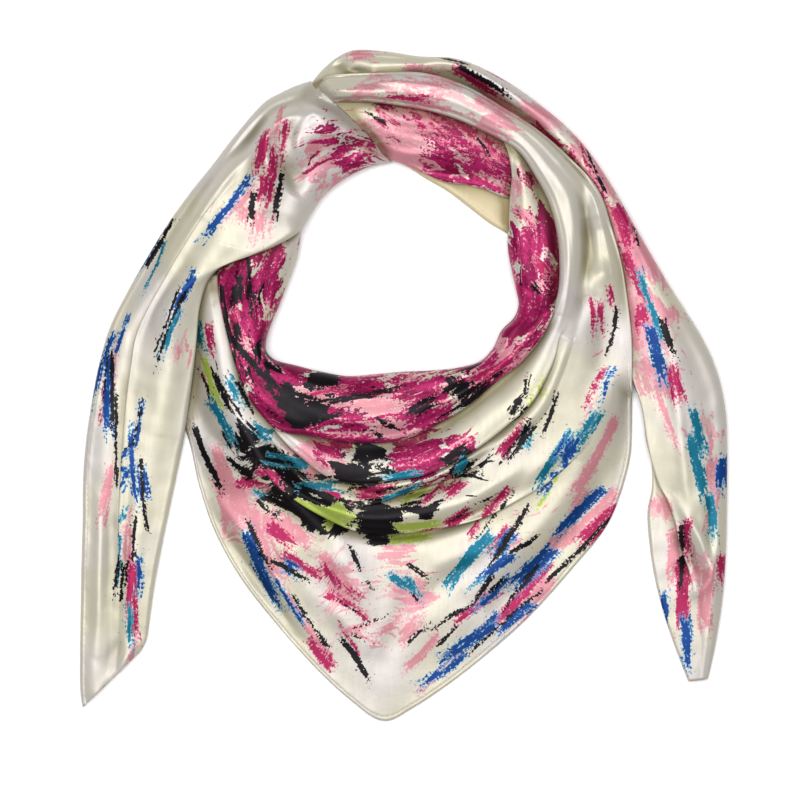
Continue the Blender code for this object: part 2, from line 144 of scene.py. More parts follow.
# The front: from the roll behind the neck, over the left shoulder, through the cowl and the
# hanging point, to the right shoulder. neck edge | three cowl folds | hem
FRONT = (
    (-48.5, 156, 9, -49, 158, 9.5, 0, -49.5, 160, 9.5, 0, -50, 162, 9.5, 0, -50.5, 164, 9),
    (-42, 155, 13, -42.8, 158.5, 16, 0, -43.5, 162, 17, 0, -44.2, 165.5, 16, 0, -45, 168.5, 13),
    (-34, 155, 15.5, -35, 159, 19.5, 0, -36, 163, 20.5, 0, -37, 166.5, 19.5, 0, -38, 170, 16),
    (-16, 154.5, 18, -16, 159, 22, 0, -16, 163, 23, 0, -16, 167, 22, 0, -16, 171, 18),
    (8, 151, 18, 8, 156, 22, 0, 9, 161, 23, 0, 9, 166, 22, 0, 10, 171, 18),
    (27, 146, 19, 29, 151, 22, 0, 30, 156, 23, 0, 32, 161, 22, 0, 33, 164.5, 18),
    (46, 137.5, 20, 48.5, 141.5, 22.5, 0, 50.5, 145.5, 23, 0, 52.5, 149, 21.5, 0, 54, 152.5, 18),
    (62, 128, 21, 65.5, 132, 22.5, 0, 68, 135, 22, 0, 70.5, 138, 20.5, 0, 72.5, 140.5, 17),
    (72, 113.5, 21, 77.5, 117, 22, 0, 82, 120, 21.5, 0, 86.5, 122.8, 20, 0, 90.5, 125, 16),
    (79, 100, 21, 86.5, 102, 21.5, 0, 93.5, 103.8, 20.5, 0, 100.5, 105.5, 19.5, 0, 106.5, 107, 16),
    (83.5, 83, 21, 92, 84, 21, 0, 99.5, 84.7, 19, 0, 107.5, 85.5, 18.5, 0, 114, 86, 15),
    (85, 66, 21, 94, 66, 20.5, 0, 102.5, 66, 18, 0, 111.5, 66, 17, 0, 119.5, 66, 13),
    (84, 50, 20.5, 93.5, 49.7, 19.5, 0, 103, 49.2, 17, 0, 113.5, 48.6, 15.5, 0, 122.5, 48, 11.5),
    (79, 38, 18, 90, 35, 18.5, 0, 98.5, 32.8, 16.5, 0, 113, 29, 13, 0, 125, 26, 9),
    (70, 30, 14, 86, 24.7, 17, 0.8, 95, 20.5, 15, 0, 114, 10, 11, 0, 125.5, 4, 5),
    (60, 18.5, 13, 80, 8, 16.5, 3, 88.5, 1.5, 13, 0, 110, -14, 9.5, 0, 126, -22, 3),
    (48, 8.5, 12, 70, -10, 16.5, 5, 79, -19, 11.5, 0, 99, -36, 9, 0.4, 124, -45, 2.2),
    (36, 0, 12, 58, -21, 16.5, 5.5, 65.5, -30.5, 11.5, 0, 83, -51, 9, 1.6, 113, -76, 2),
    (24, -9, 12, 45, -31.5, 16.5, 5.5, 49, -39.5, 12, 0.6, 64, -63, 9.5, 2.8, 93, -101.5, 1.8),
    (11, -17, 12, 29, -42, 16.5, 5, 30, -50, 12.5, 2, 44, -73, 9.5, 3.8, 66, -131, 1.8),
    (-3, -22.5, 12, 11, -49.5, 16, 4.5, 12, -56, 13, 3.2, 24, -78.5, 9.5, 4.6, 33, -159, 1.8),
    (-15, -24.5, 12, -4, -52, 16, 4, -3, -61, 13.5, 4, 3, -81.5, 9.5, 5, 4, -179, 1.8),
    (-23, -24.5, 12, -17, -53.5, 16, 4, -15, -65, 13.5, 4, -12, -82.2, 9.5, 5, -12, -185.5, 1.8),
    (-32, -23.5, 12, -30, -54, 16, 4.5, -28, -66, 13, 3.2, -27, -80.5, 10, 5, -29, -174.6, 1.8),
    (-44, -20.5, 12, -42, -50.5, 15.5, 5, -41.5, -60.5, 11, 0.8, -41, -74.5, 11.5, 4.5, -48.5, -156.6, 1.8),
    (-56, -18, 12, -54, -42, 15, 4.6, -56, -53, 11, 0, -57.5, -65, 13, 3, -70.5, -132, 1.8),
    (-65, -15, 12, -64.5, -32.5, 14.5, 3, -69, -42, 12, 0, -74, -51.5, 13.5, 1, -89.7, -107.4, 1.8),
    (-73, -8, 12, -75.5, -19.5, 14, 0.4, -81, -26, 14, 0, -88, -33, 13.5, 0, -104.5, -81, 1.8),
    (-80, 1, 12, -85.5, -5, 14, 0, -91.5, -9.5, 14.5, 0, -99, -15, 13, 0, -113.2, -55.5, 2),
    (-84, 13, 12, -90.5, 10, 14, 0, -97, 7, 14.5, 0, -104, 3, 13, 0, -118, -34, 2.5),
    (-87, 27, 12, -94, 26, 14, 0, -100.5, 25, 14.5, 0, -107, 23, 13, 0, -124, -12, 3),
    (-91, 44, 12, -98, 44, 13.5, 0, -104, 44, 14, 0, -110, 43, 12.5, 0, -127, 12, 4),
    (-97, 62, 11, -103, 61, 12, 0, -107, 60.5, 12, 0, -112, 60, 11.5, 0, -128, 34, 5),
)

# The roll round the front of the neck. edge at the neck opening | lip over the cowl
NECK_ROLL = (
    (63.2, 42.5, 15.5, 83, 42.5, 16.5),
    (60, 36.5, 17, 80, 35, 19),
    (53.5, 30, 18, 75, 25.5, 19),
    (49, 20.5, 18, 64, 12, 18),
    (41.5, 13, 18, 51, 2, 18),
    (29, 9.5, 18, 36, -11, 18),
    (14, 8, 18, 18, -22, 18),
    (-1, 7.3, 18, 0, -30, 18),
    (-16, 6, 18, -18, -32, 18),
    (-31, 5, 18, -37, -30.5, 18),
    (-46, 7.5, 18, -54, -27.5, 18),
    (-60, 11, 18, -69, -25, 18),
    (-70, 13.5, 18, -79, -15.5, 18),
    (-75, 17.5, 17, -87, -3.5, 18),
    (-76, 22.5, 17, -92, 10, 18),
    (-74, 31, 17, -96, 24, 17),
    (-69, 43, 16, -99.5, 39, 17),
    (-64, 56, 16, -102, 55, 17),
    (-59, 70, 15, -102, 70, 16),
    (-57, 82, 14, -96, 84, 14),
    (-58, 93, 12, -86, 95, 12),
)

# The upper winding: from the nape over the right shoulder and down to the tail's slanted end.
# inner edge | lengthwise fold | outer edge
RIGHT_WINDING = (
    (-7, 122.5, 14, -27, 145, 20, 0, -52, 168, 15),
    (-13, 121.5, 14.5, -38, 145.5, 23, 0, -60, 165, 15.5),
    (-21, 119.5, 15, -49, 145, 25, 0, -68, 161, 15),
    (-32, 114, 16, -64, 141, 25, 0, -78, 155, 13),
    (-44, 104.5, 17, -81, 126, 24, 0, -93, 138, 11),
    (-52, 93, 19, -96, 110, 22, 0.5, -106, 121, 11),
    (-58, 83.5, 21, -109, 95, 20, 1, -118, 106, 10),
    (-70, 76, 21.5, -121, 76, 18, 1.5, -131, 88, 10),
    (-85, 70, 21, -131.5, 58, 16, 2, -143.3, 67.8, 9),
    (-98, 65.5, 20, -141, 41, 14, 2, -153.6, 49.5, 8.5),
    (-107, 57, 18, -147.5, 26, 12, 2, -162.4, 31.6, 8),
    (-112, 42, 15, -150.5, 9, 10.5, 2, -168.2, 12, 7.5),
    (-114, 22, 12, -153, -9, 9, 2, -171.8, -6, 7),
    (-117.5, -4, 9, -155, -31, 8, 2, -175.3, -28, 6.5),
    (-121.5, -30, 7, -156.5, -54, 7.2, 1.8, -177.2, -51, 6),
    (-127, -57, 6, -158, -78, 6.5, 1.2, -177.5, -75, 5.5),
    (-132.5, -83, 5.5, -159, -102, 5.8, 0.5, -178.2, -100, 5),
    (-137.5, -109, 5, -160, -125, 5, 0, -178.6, -126, 4.5),
    (-140.5, -130, 4, -161, -145, 4.2, 0, -179, -150, 4),
    (-142, -140, 3, -161.5, -157, 3.4, 0, -178.8, -168, 3),
    (-145, -146.5, 2.4, -162, -163, 2.4, 0, -177.6, -178, 2.2),
)

STANDS_FOR = {"neck_ring": ("shoulder_roll", "neck_roll")}  # a form, and the stretches joined in it
JOIN_REACH = 9  # sections each way over which they are eased into one
JOIN_SPREAD = 2.5  # sections over which each point there is averaged

# Starts that go in under other cloth: how deep, and over what length
TUCKED = {"right_winding": (6.5, 17.0), "front": (7.0, 15.0)}
TUCK_CURVE = 1.6  # 1 is a straight slope down
TUCK_FLOOR = 0.3  # the lowest that a tucked start goes

# A hemmed last edge shows its hem where its y is less than the first number, in full from the second
HEM_SHOWS = {"front": (12.0, 0.0), "right_winding": (40.0, 10.0), "back_hem": (300.0, 250.0)}
HEM_WIDTH = 2.7
HEM_RISE = 0.23
HEM_EDGES = (0.6, 0.5)  # width over which its band rises at the edge, and falls by the stitching
HEM_GROOVE = (0.10, 0.4)  # depth of the groove at the stitching, and half its width
PUCKER = (0.10, 4, 9, 5)  # height, shortest and longest wave, and how far in from the edge
STITCH = (1.9, 3.1, 0.17)  # length of a stitch, from one to the next, half its width
SPINDLE = ((0.0, 0.25), (0.2, 1.0), (0.8, 1.0), (1.0, 0.25))  # share of its length, and of its width
SPINDLE_SIDES = 6
SPINDLE_FLAT = 0.6  # height of a stitch, as a share of its width

# Painted shade in hollows: a darkening multiplied onto the colour, worked out from the heap's height
HOLLOW_SPREAD = 4.0  # cells over which the heap's height is evened out to find the hollows
HOLLOW_DEEP = 2.1  # how far under that a place in full shade is
OPEN_SIDE = (0.58, 0.85)  # share of cloth round a place where shade begins, and where it is full
START_SHADE = 0.3  # the share of its shade that a tucked start keeps
START_REACH = 40.0  # how far from there the shade is full again

# Swells all over a stretch, and the ends of its creases
WAVES = 9  # how many waves make up a swell
ENVELOPE = (0.6, 0.4, 2.7)  # a wave's mean height, how much it varies, and over how many wavelengths
SWELL = (24, 70)  # shortest and longest wave
RIPPLE = (9, 20, 0.35, 50)  # shortest and longest wave, height as a share, what the seed is raised by
CREASE_FADE = 0.3  # the share of a crease's length over which it fades at each end
CREASE_END = 0.15  # the share of its height at which it ends
CREASE_STEP = 2.0  # distance between the points of its line

# How each stretch is made, lowest first: its table, then three numbers for each space between an
# edge and a fold, which are its crown and its lean, as shares of its width, and the points across
# it. Then the distance between sections, the plies that show at the two edges, the height of the
# swell, the width by the last edge where points lie closer, the points across the underside, the seed.
Make = namedtuple("Make", "table crowns leans counts spacing plies swell fine under seed")
MAKE = {
    "left_winding": Make(
        LEFT_WINDING, (0.08, 0.02), (0.0, 0.0), (26, 12), 1.5, (2, 1), 0.45, 0.0, 14, 1
    ),
    "back_hem": Make(BACK_HEM, (0.02,), (0.0,), (14,), 1.2, (1, 2), 0.15, 4.0, 6, 2),
    "nape_fold": Make(NAPE_FOLD, (0.10,), (0.0,), (32,), 1.2, (1, 1), 0.45, 0.0, 8, 3),
    "shoulder_roll": Make(SHOULDER_ROLL, (0.12,), (0.0,), (32,), 1.2, (1, 1), 0.3, 0.0, 10, 6),
    "front": Make(
        FRONT, (0.09, 0.10, 0.09, 0.01), (0.0, 0.05, 0.06, 0.0), (12, 8, 12, 58), 1.7, (1, 2),
        0.30, 4.0, 20, 5,
    ),
    "neck_roll": Make(NECK_ROLL, (0.12,), (0.02,), (32,), 1.2, (1, 1), 0.4, 0.0, 10, 6),
    "right_winding": Make(
        RIGHT_WINDING, (0.06, 0.08), (0.02, 0.0), (42, 20), 1.5, (1, 2), 0.40, 4.0, 16, 7
    ),
}

# ---------------------------------------------------------------- sections


def read_rows(rows, spacing):
    """The table's rows, with others about this far apart between them on a Catmull-Rom curve."""
    table = np.array(rows, float)
    padded = np.vstack([2 * table[0] - table[1], table, 2 * table[-1] - table[-2]])
    result = []
    for index in range(len(table) - 1):
        before, start, end, after = padded[index : index + 4]
        apart = max(np.hypot(*(end[:2] - start[:2])), np.hypot(*(end[-3:-1] - start[-3:-1])))
        steps = max(4, math.ceil(apart / spacing))
        for step in range(steps):
            t = step / steps
            result.append(
                start
                + 0.5 * t * (end - before)
                + 0.5 * t**2 * (2 * before - 5 * start + 4 * end - after)
                + 0.5 * t**3 * (3 * start - before - 3 * end + after)
            )
    result.append(table[-1])
    return result


class Heap:
    """The height of all the cloth laid so far, and what an underside has to clear."""

    def __init__(self):
        count = int(2 * HALF_GRID / CELL)
        self.height = np.zeros((count, count))
        self.cleared = self.height

    def cells(self, xy):
        return np.clip(((xy + HALF_GRID) / CELL).astype(int), 0, len(self.height) - 1)

    def underside(self, xy):
        column, row = self.cells(np.asarray(xy)).T
        below = self.cleared[column, row]
        return np.where(below > 0, below + LAY_GAP, 0.0)

    def level(self, grid, xy):
        """A grid's value at each of these places, evened out between its cells."""
        spot = np.clip((xy + HALF_GRID) / CELL - 0.5, 0, len(grid) - 1.001)
        low = spot.astype(int)
        column, row = np.moveaxis(low, -1, 0)
        right, up = np.moveaxis(spot - low, -1, 0)
        near = grid[column, row] * (1 - right) + grid[column + 1, row] * right
        far = grid[column, row + 1] * (1 - right) + grid[column + 1, row + 1] * right
        return near * (1 - up) + far * up

    def lay(self, tops):
        for a in np.linspace(0, 1, LAY_FINE):
            along = tops[:-1] * (1 - a) + tops[1:] * a
            for b in np.linspace(0, 1, LAY_FINE):
                spots = (along[:, :-1] * (1 - b) + along[:, 1:] * b).reshape(-1, 3)
                column, row = self.cells(spots[:, :2]).T
                np.maximum.at(self.height, (column, row), spots[:, 2])
        reach = int(REACH / CELL)
        self.cleared = self.height.copy()
        for dx in range(-reach, reach + 1):
            for dy in range(-reach, reach + 1):
                if math.hypot(dx, dy) * CELL <= REACH:
                    moved = np.roll(self.height, (dx, dy), (0, 1))
                    self.cleared = np.maximum(self.cleared, moved)


def side(edge, inward, top, under, room, plies):
    """Points up a side: from the underside to the widest line, and from there to the top.

    The side is scalloped where more than one ply shows at the edge.
    """
    depth = min(SIDE_ROUND * (top - under), LIP_SHARE * room)
    widest = under + WIDEST_AT * (top - under)
    most, share_of_ply = SCALLOP
    scallop = min(most, share_of_ply * (top - under) / plies) if plies > 1 else 0.0

    def spot(degrees):
        angle = math.radians(degrees)
        tall = (top - widest) if degrees > 0 else (widest - under)
        high = widest + tall * math.sin(angle)
        deep = depth * (1 if degrees > 0 else 0.5) * (1 - math.cos(angle))
        share = (high - under) / (top - under)
        deep += scallop * (1 - abs(math.sin(math.pi * plies * share))) * math.cos(angle) ** 0.5
        return (*(edge + inward * deep), high)

    return [spot(d) for d in DOWN_ANGLES], [spot(d) for d in UP_ANGLES], depth


def fold(place, outward, crest, drop, strength, slope, room_before, room_after):
    """Points over a fold's lip and back under it, to where the cloth comes out again below.

    The bare factors are shares of the fold's own sizes. They only place points along its curve.
    """
    half = min(FOLD_HALF, LIP_SHARE * room_before, LIP_SHARE * max(room_after, 3.0))
    tuck = min(FOLD_TUCK, TUCK_SHARE * room_before)
    nose = min(FOLD_NOSE, LIP_SHARE * drop)
    turn = max(0.0, (drop - 2 * nose) / 2)
    spots = [(-half, 0.0), (-0.6 * half - 0.4 * nose, -0.04 * drop)]
    for degrees in LIP_ANGLES:
        angle = math.radians(degrees)
        spots.append((nose * (math.cos(angle) - 1), nose * (math.sin(angle) - 1)))
    spots.append((-0.6 * tuck, -2 * nose))
    for degrees in TURN_ANGLES:
        angle = math.radians(degrees)
        spots.append((turn - tuck + turn * math.cos(angle), -2 * nose - turn * (1 - math.sin(angle))))
    spots += [(-0.62 * tuck, -drop), (-0.3 * tuck, -drop)]
    count = len(spots) - 1
    points = []
    for index, (out, up) in enumerate(spots):
        plain = half * (1.35 * index / count - 1)
        along = out * strength + plain * (1 - strength)
        high = up * strength + (slope * plain - drop * index / count) * (1 - strength)
        points.append((*(place + outward * along), crest + high))
    return points


def between(start, end, slopes, crown, lean, count, fine_end=0.0):
    """Points across the space from start to end, with these slopes there.

    They are raised in the middle by crown, a share of the width. With lean, another share, they
    first dip and then swell before the end. With fine_end, a third of them lie that near the end.
    """
    start, end = np.array(start), np.array(end)
    width = np.linalg.norm(end[:2] - start[:2])
    shares = np.arange(1, count + 1) / (count + 1)
    if fine_end and width > 2 * fine_end:
        few = count // 3
        edge = 1 - fine_end / width
        wide = np.arange(1, count - few + 1) / (count - few + 1) * edge
        shares = np.concatenate([wide, edge + np.arange(few) / few * (1 - edge)])
    spots = start + (end - start) * shares[:, None]
    rest = 1 - shares
    arch = 4 * shares * rest
    spots[:, 2] = start[2] * rest**2 * (1 + 2 * shares) + end[2] * shares**2 * (1 + 2 * rest)
    spots[:, 2] += width * shares * rest * (slopes[0] * rest - slopes[1] * shares)
    spots[:, 2] += width * arch * (crown * arch**0.5 - lean * np.sin(2 * math.pi * shares))
    return [tuple(spot) for spot in spots]


def smoothed(values, spread):
    """The values along a stretch, each averaged with about this many neighbours each way."""
    reach = max(1, int(3 * spread))
    weights = np.exp(-0.5 * (np.arange(-reach, reach + 1) / spread) ** 2)
    weights /= weights.sum()
    padded = np.concatenate([values[:1].repeat(reach, 0), values, values[-1:].repeat(reach, 0)])
    return sum(w * padded[k : k + len(values)] for k, w in enumerate(weights))


def section(row, make, heap, edge_unders):
    """One section: its top from side to side, its underside, and the way that it runs."""
    edges = np.array([row[:3], row[-3:]])
    folds = row[3:-3].reshape(-1, 4)
    places = np.vstack([edges[0, :2], folds[:, :2], edges[1, :2]])
    edge_tops = np.maximum(edges[:, 2], edge_unders + LEAST_WALL)

    whole = places[-1] - places[0]
    last_way = whole / np.linalg.norm(whole)
    first_way = (places[1] - places[0]) / np.linalg.norm(places[1] - places[0])
    crests = [edge_tops[0], *folds[:, 2], edge_tops[1]]
    drops = [0.0, *np.maximum(folds[:, 3], 0.0)]

    room = np.linalg.norm(places[1] - places[0])
    low_first, top, first_depth = side(
        places[0], first_way, edge_tops[0], edge_unders[0], room, make.plies[0]
    )
    strengths = [0.0] + [min(1.0, drop / FULL_FOLD) for drop in drops[1:]] + [0.0]
    strengths = [share * share * (3 - 2 * share) for share in strengths]
    gentle = 0.0
    for index in range(1, len(places) - 1):
        span = np.linalg.norm(places[index + 1] - places[index - 1])
        way = (places[index + 1] - places[index - 1]) / span
        slope = (crests[index + 1] - crests[index - 1] + drops[index - 1]) / span
        room_after = float((places[index + 1] - places[index]) @ way)
        strength = strengths[index]
        lip = fold(places[index], way, crests[index], drops[index], strength, slope, room, room_after)
        crown, lean, count = (of[index - 1] for of in (make.crowns, make.leans, make.counts))
        if index > 1:
            crown *= max(PLAIN_CROWN, strength, strengths[index - 1])
            lean *= max(strength, strengths[index - 1])
        slopes = (gentle, slope * (1 - strength))
        top += between(top[-1], lip[0], slopes, crown, lean, count) + lip
        gentle, room = slopes[1], room_after
    last_room = float((places[-1] - np.array(top[-1][:2])) @ last_way)
    low_last, up_last, last_depth = side(
        places[-1], -last_way, edge_tops[1], edge_unders[1], last_room, make.plies[1]
    )
    crown, lean, count = (of[-1] for of in (make.crowns, make.leans, make.counts))
    top += between(top[-1], up_last[-1], (gentle, 0.0), crown, lean, count, make.fine)
    top += up_last[::-1]

    start = places[0] + first_way * 0.5 * first_depth
    end = places[-1] - last_way * 0.5 * last_depth
    stops = [start, *places[1:-1], end]
    lengths = [0.0, *np.cumsum([np.linalg.norm(b - a) for a, b in zip(stops, stops[1:])])]
    spread = np.linspace(0, lengths[-1], make.under)
    under = np.column_stack([np.interp(spread, lengths, [s[a] for s in stops]) for a in (0, 1)])
    under = np.column_stack([under, heap.underside(under)])
    return np.array(top), np.array(low_last[::-1]), under[::-1], np.array(low_first), last_way


def waves(points, seed, amount, shortest, longest):
    """A soft, irregular swell of this height in mm, from waves in all directions."""
    rng = np.random.default_rng(seed)
    total = np.zeros(points.shape[:-1])
    mean, change, lengths = ENVELOPE
    for _ in range(WAVES):
        heading, length = rng.uniform(0, math.pi), rng.uniform(shortest, longest)
        phase, other = rng.uniform(0, 2 * math.pi, 2)
        along = points[..., 0] * math.cos(heading) + points[..., 1] * math.sin(heading)
        across = points[..., 1] * math.cos(heading) - points[..., 0] * math.sin(heading)
        envelope = mean + change * np.sin(across * 2 * math.pi / (lengths * length) + other)
        total += np.sin(along * 2 * math.pi / length + phase) * envelope
    return amount * total / math.sqrt(WAVES)


def lengths_along(line):
    """How far along the line each of its points is."""
    return np.concatenate([[0], np.cumsum(np.linalg.norm(np.diff(line, axis=0), axis=1))])


def off_line(points, line):
    """For each point: how far off the line it is, the same signed, and how far along. Then its length."""
    line = np.array(line, float)
    lengths = lengths_along(line)
    best = np.full(points.shape[:-1], 1e9)
    signed, along = best.copy(), np.zeros(points.shape[:-1])
    for index in range(len(line) - 1):
        start, way = line[index], line[index + 1] - line[index]
        size = np.linalg.norm(way)
        way = way / size
        reach = np.clip((points - start) @ way, 0, size)
        gap = points - start - reach[..., None] * way
        distance = np.linalg.norm(gap, axis=-1)
        nearer = distance < best
        best = np.where(nearer, distance, best)
        turn = np.sign(way[0] * gap[..., 1] - way[1] * gap[..., 0])
        signed = np.where(nearer, distance * np.where(turn == 0, 1, turn), signed)
        along = np.where(nearer, lengths[index] + reach, along)
    return best, signed, along, lengths[-1]


def smooth_line(points, step):
    """The same line on a Catmull-Rom curve, with points about this far apart."""
    return np.array(read_rows([(*p, *p, 0.0) for p in points], step))[:, :2]


# ---------------------------------------------------------------- soft creases
# By piece: half width, height, then the line as x and y by turns
CREASES = {
    "front": (
        # the hanging point: ridges that run from the left edge, and their hollows
        (4.5, 2.2, -117, -19, -113, -31, -106, -35, -87, -43, -74, -54, -54, -70, -34, -88),
        (7, -1.6, -112, -46, -94, -56, -78, -70, -60, -90),
        (4.2, 2.4, -104, -62, -92, -78, -80, -92, -70, -108, -60, -126, -48, -142),
        (5.5, -1.8, -99, -80, -89, -96, -77, -114, -65, -131, -54, -144),
        (3.0, 1.1, -98, -90, -86, -108, -74, -123, -60, -138),
        (7, -1.5, -58, -84, -46, -104, -38, -126),
        (6, 1.5, -40, -84, -28, -104, -18, -128),
        (8, 1.7, 100, -45, 82, -70, 58, -96, 34, -116),
        (7, -1.5, 112, -40, 96, -72, 72, -100, 46, -126),
        (5, 1.3, 60, -76, 40, -92, 16, -100),
        (6, -1.4, 44, -88, 24, -106, 6, -124),
        (5, 1.1, -52, -110, -34, -128, -20, -148),
        (6, -1.1, 2, -108, -4, -132, -12, -156),
        # the left shoulder: a round ridge, a groove beside it, a second ridge and a hollow
        (5.5, 1.7, 56, 134, 72, 122, 83, 112, 90, 101, 92.5, 88, 92.5, 72, 92, 56, 88, 38),
        (5.2, -3.2, 88, 124, 95, 117, 98.8, 106, 100, 90, 99.5, 74, 98, 60, 96, 45, 90, 26),
        (5.0, 1.8, 100, 114, 104, 105, 107, 96, 108, 86),
        (7.0, -2.0, 103, 92, 105, 78, 107, 62),
        (5.5, 1.9, 96, 47, 101, 55, 108, 60, 119, 62),
        (8, -1.4, 106, 50, 108, 30, 103, 4, 92, -16),
        (7, 1.0, 118, 44, 117, 10, 106, -18, 90, -38),
        # the pinched end of the roll behind the neck, at the crossing
        (3.5, 1.6, -47, 163, -38, 160, -24, 158, -4, 158),
        (3.5, -1.8, -46, 168, -36, 166.5, -24, 166, -8, 166),
        # the cowl
        (3.4, -3.4, -62, -40, -50, -50, -34, -57, -14, -60, 8, -58, 28, -50, 46, -36, 60, -22),
        (4.5, -3.2, -60, -60, -44, -73, -24, -80, -4, -82, 16, -80, 36, -72, 56, -58, 78, -38),
        (6.0, 1.6, -104, 44, -100, 16, -95, -8, -86, -26, -74, -44, -60, -60),
        (7.0, -3.0, -114, 26, -111, -6, -104, -26, -92, -42, -76, -58, -58, -76, -36, -90),
        (3.5, -1.8, -76, -30, -66, -42, -56, -52, -44, -58),
        (4.0, 0.9, 80, 0, 66, -18, 46, -36, 20, -50, -8, -58),
    ),
    "left_winding": (
        # the outer winding
        (4.5, -3.6, -42, 178, -34, 175, -26, 172, -18, 172),
        (3.0, 1.6, -44, 173, -36, 169, -28, 166, -16, 166),
        (4.0, 1.4, 2, 176, 20, 175, 38, 170, 56, 160, 74, 147, 90, 134),
        (3.5, -2.0, 26, 166, 34, 162, 44, 157, 56, 148),
        (7, 1.1, 112, 108, 128, 80, 140, 52, 150, 20, 156, -10),
        (5, -1.1, 124, 68, 134, 40, 141, 8, 146, -30),
        (3.0, 0.9, 146, 14, 151, -20, 155, -56, 160, -80),
        (2.6, 1.0, 171, -52, 172, -80, 171, -110, 168, -140),
        (3.0, -0.8, 167, -50, 168, -80, 166, -112),
        (3.3, 2.4, 148, -60, 156, -74, 165, -90, 168.5, -104, 164, -112, 156, -115),
        (4.5, -2.0, 152, -82, 157, -94, 158, -106),
    ),
    "nape_fold": (
        # the fold inside the nape
        (3.0, 1.8, -18, 140, -8, 130, 4, 126, 18, 127, 34, 129, 50, 128),
        (3.0, -1.4, -20, 150, -4, 142, 16, 139, 38, 138),
        (3.0, -1.0, 0, 122, 18, 117, 40, 115, 56, 112),
        (2.4, 1.2, 48, 124, 56, 122, 64, 124),
    ),
    "neck_ring": (
        # the roll round the neck
        (3.0, 1.2, 61, 124, 64, 112, 65, 98, 65, 86),
        (4.0, -1.1, 72, 118, 74, 102, 74, 84, 73, 66),
        (2.6, -1.0, 60, 62, 65, 55, 71, 47, 78, 42),
        (3.0, 1.0, -70, 12, -54, 3, -38, -4, -16, -7, 6, -5),
        (4.0, -1.2, -88, 44, -88, 20, -80, 2, -64, -13, -44, -20),
        (3.0, 0.9, -74, 66, -80, 46, -82, 26, -76, 6),
        (3.0, 1.0, 0, -12, 24, -8, 44, 4, 58, 16),
        (3.5, -0.9, 20, -2, 42, 10, 54, 22),
    ),
    "right_winding": (
        # the upper winding: a star of creases at the crossing, and long ones down the tail
        (6.5, 2.4, -66, 158, -84, 147, -95, 130, -102, 112, -112, 92),
        (8, -2.8, -74, 146, -84, 132, -88, 114, -89, 94, -94, 76),
        (4.5, 2.4, -58, 152, -70, 146, -76, 134, -75, 120, -67, 107, -56, 98),
        (1.8, 1.0, -60, 148, -71, 142, -75, 130, -73, 118, -64, 106, -55, 99),
        (6.5, -3.0, -50, 148, -60, 138, -65, 126, -62, 115, -54, 108),
        (6.0, 1.5, -34, 134, -44, 124, -50, 114, -54, 104),
        (2.2, 1.3, -46, 152, -54, 144, -58, 132, -54, 120),
        (3.0, -1.2, -38, 144, -33, 134, -26, 126),
        (3.0, 1.0, -150, -6, -153, -34, -156, -66, -158, -100),
        (3.0, 1.1, -167, -60, -167, -90, -168, -120, -170, -150),
        (4.0, -0.9, -162, -56, -163, -90, -164, -124),
        (6, 1.3, -120, 62, -125, 34, -128, 4, -133, -28),
        (6, -1.1, -134, 46, -139, 10, -143, -38, -146, -80),
        (3.0, 1.0, -143, -139, -152, -150, -163, -163, -172, -173),
        (4.0, -0.8, -146, -132, -156, -143, -168, -156),
    ),
}


def creased(name, tops, weight):
    """Raises or lowers the top along each of the piece's creases, which fade out at their ends."""
    raised = tops.copy()
    seed, swell = MAKE[name].seed, MAKE[name].swell
    shortest, longest, share, seed_step = RIPPLE
    lift = waves(tops[..., :2], seed, swell, *SWELL)
    lift += waves(tops[..., :2], seed + seed_step, swell * share, shortest, longest)
    piece = next((form for form, joined_here in STANDS_FOR.items() if name in joined_here), name)
    for width, height, *line in CREASES.get(piece, ()):
        curve = smooth_line(np.reshape(line, (-1, 2)), CREASE_STEP)
        distance, _, along, length = off_line(tops[..., :2], curve)
        ends = np.clip(np.minimum(along, length - along) / (CREASE_FADE * length), 0, 1)
        fade = (CREASE_END + (1 - CREASE_END) * ends) * (ends > 0)
        lift += height * np.exp(-((distance / width) ** 2)) * fade
    raised[..., 2] += lift * weight
    return raised


# ---------------------------------------------------------------- meshes


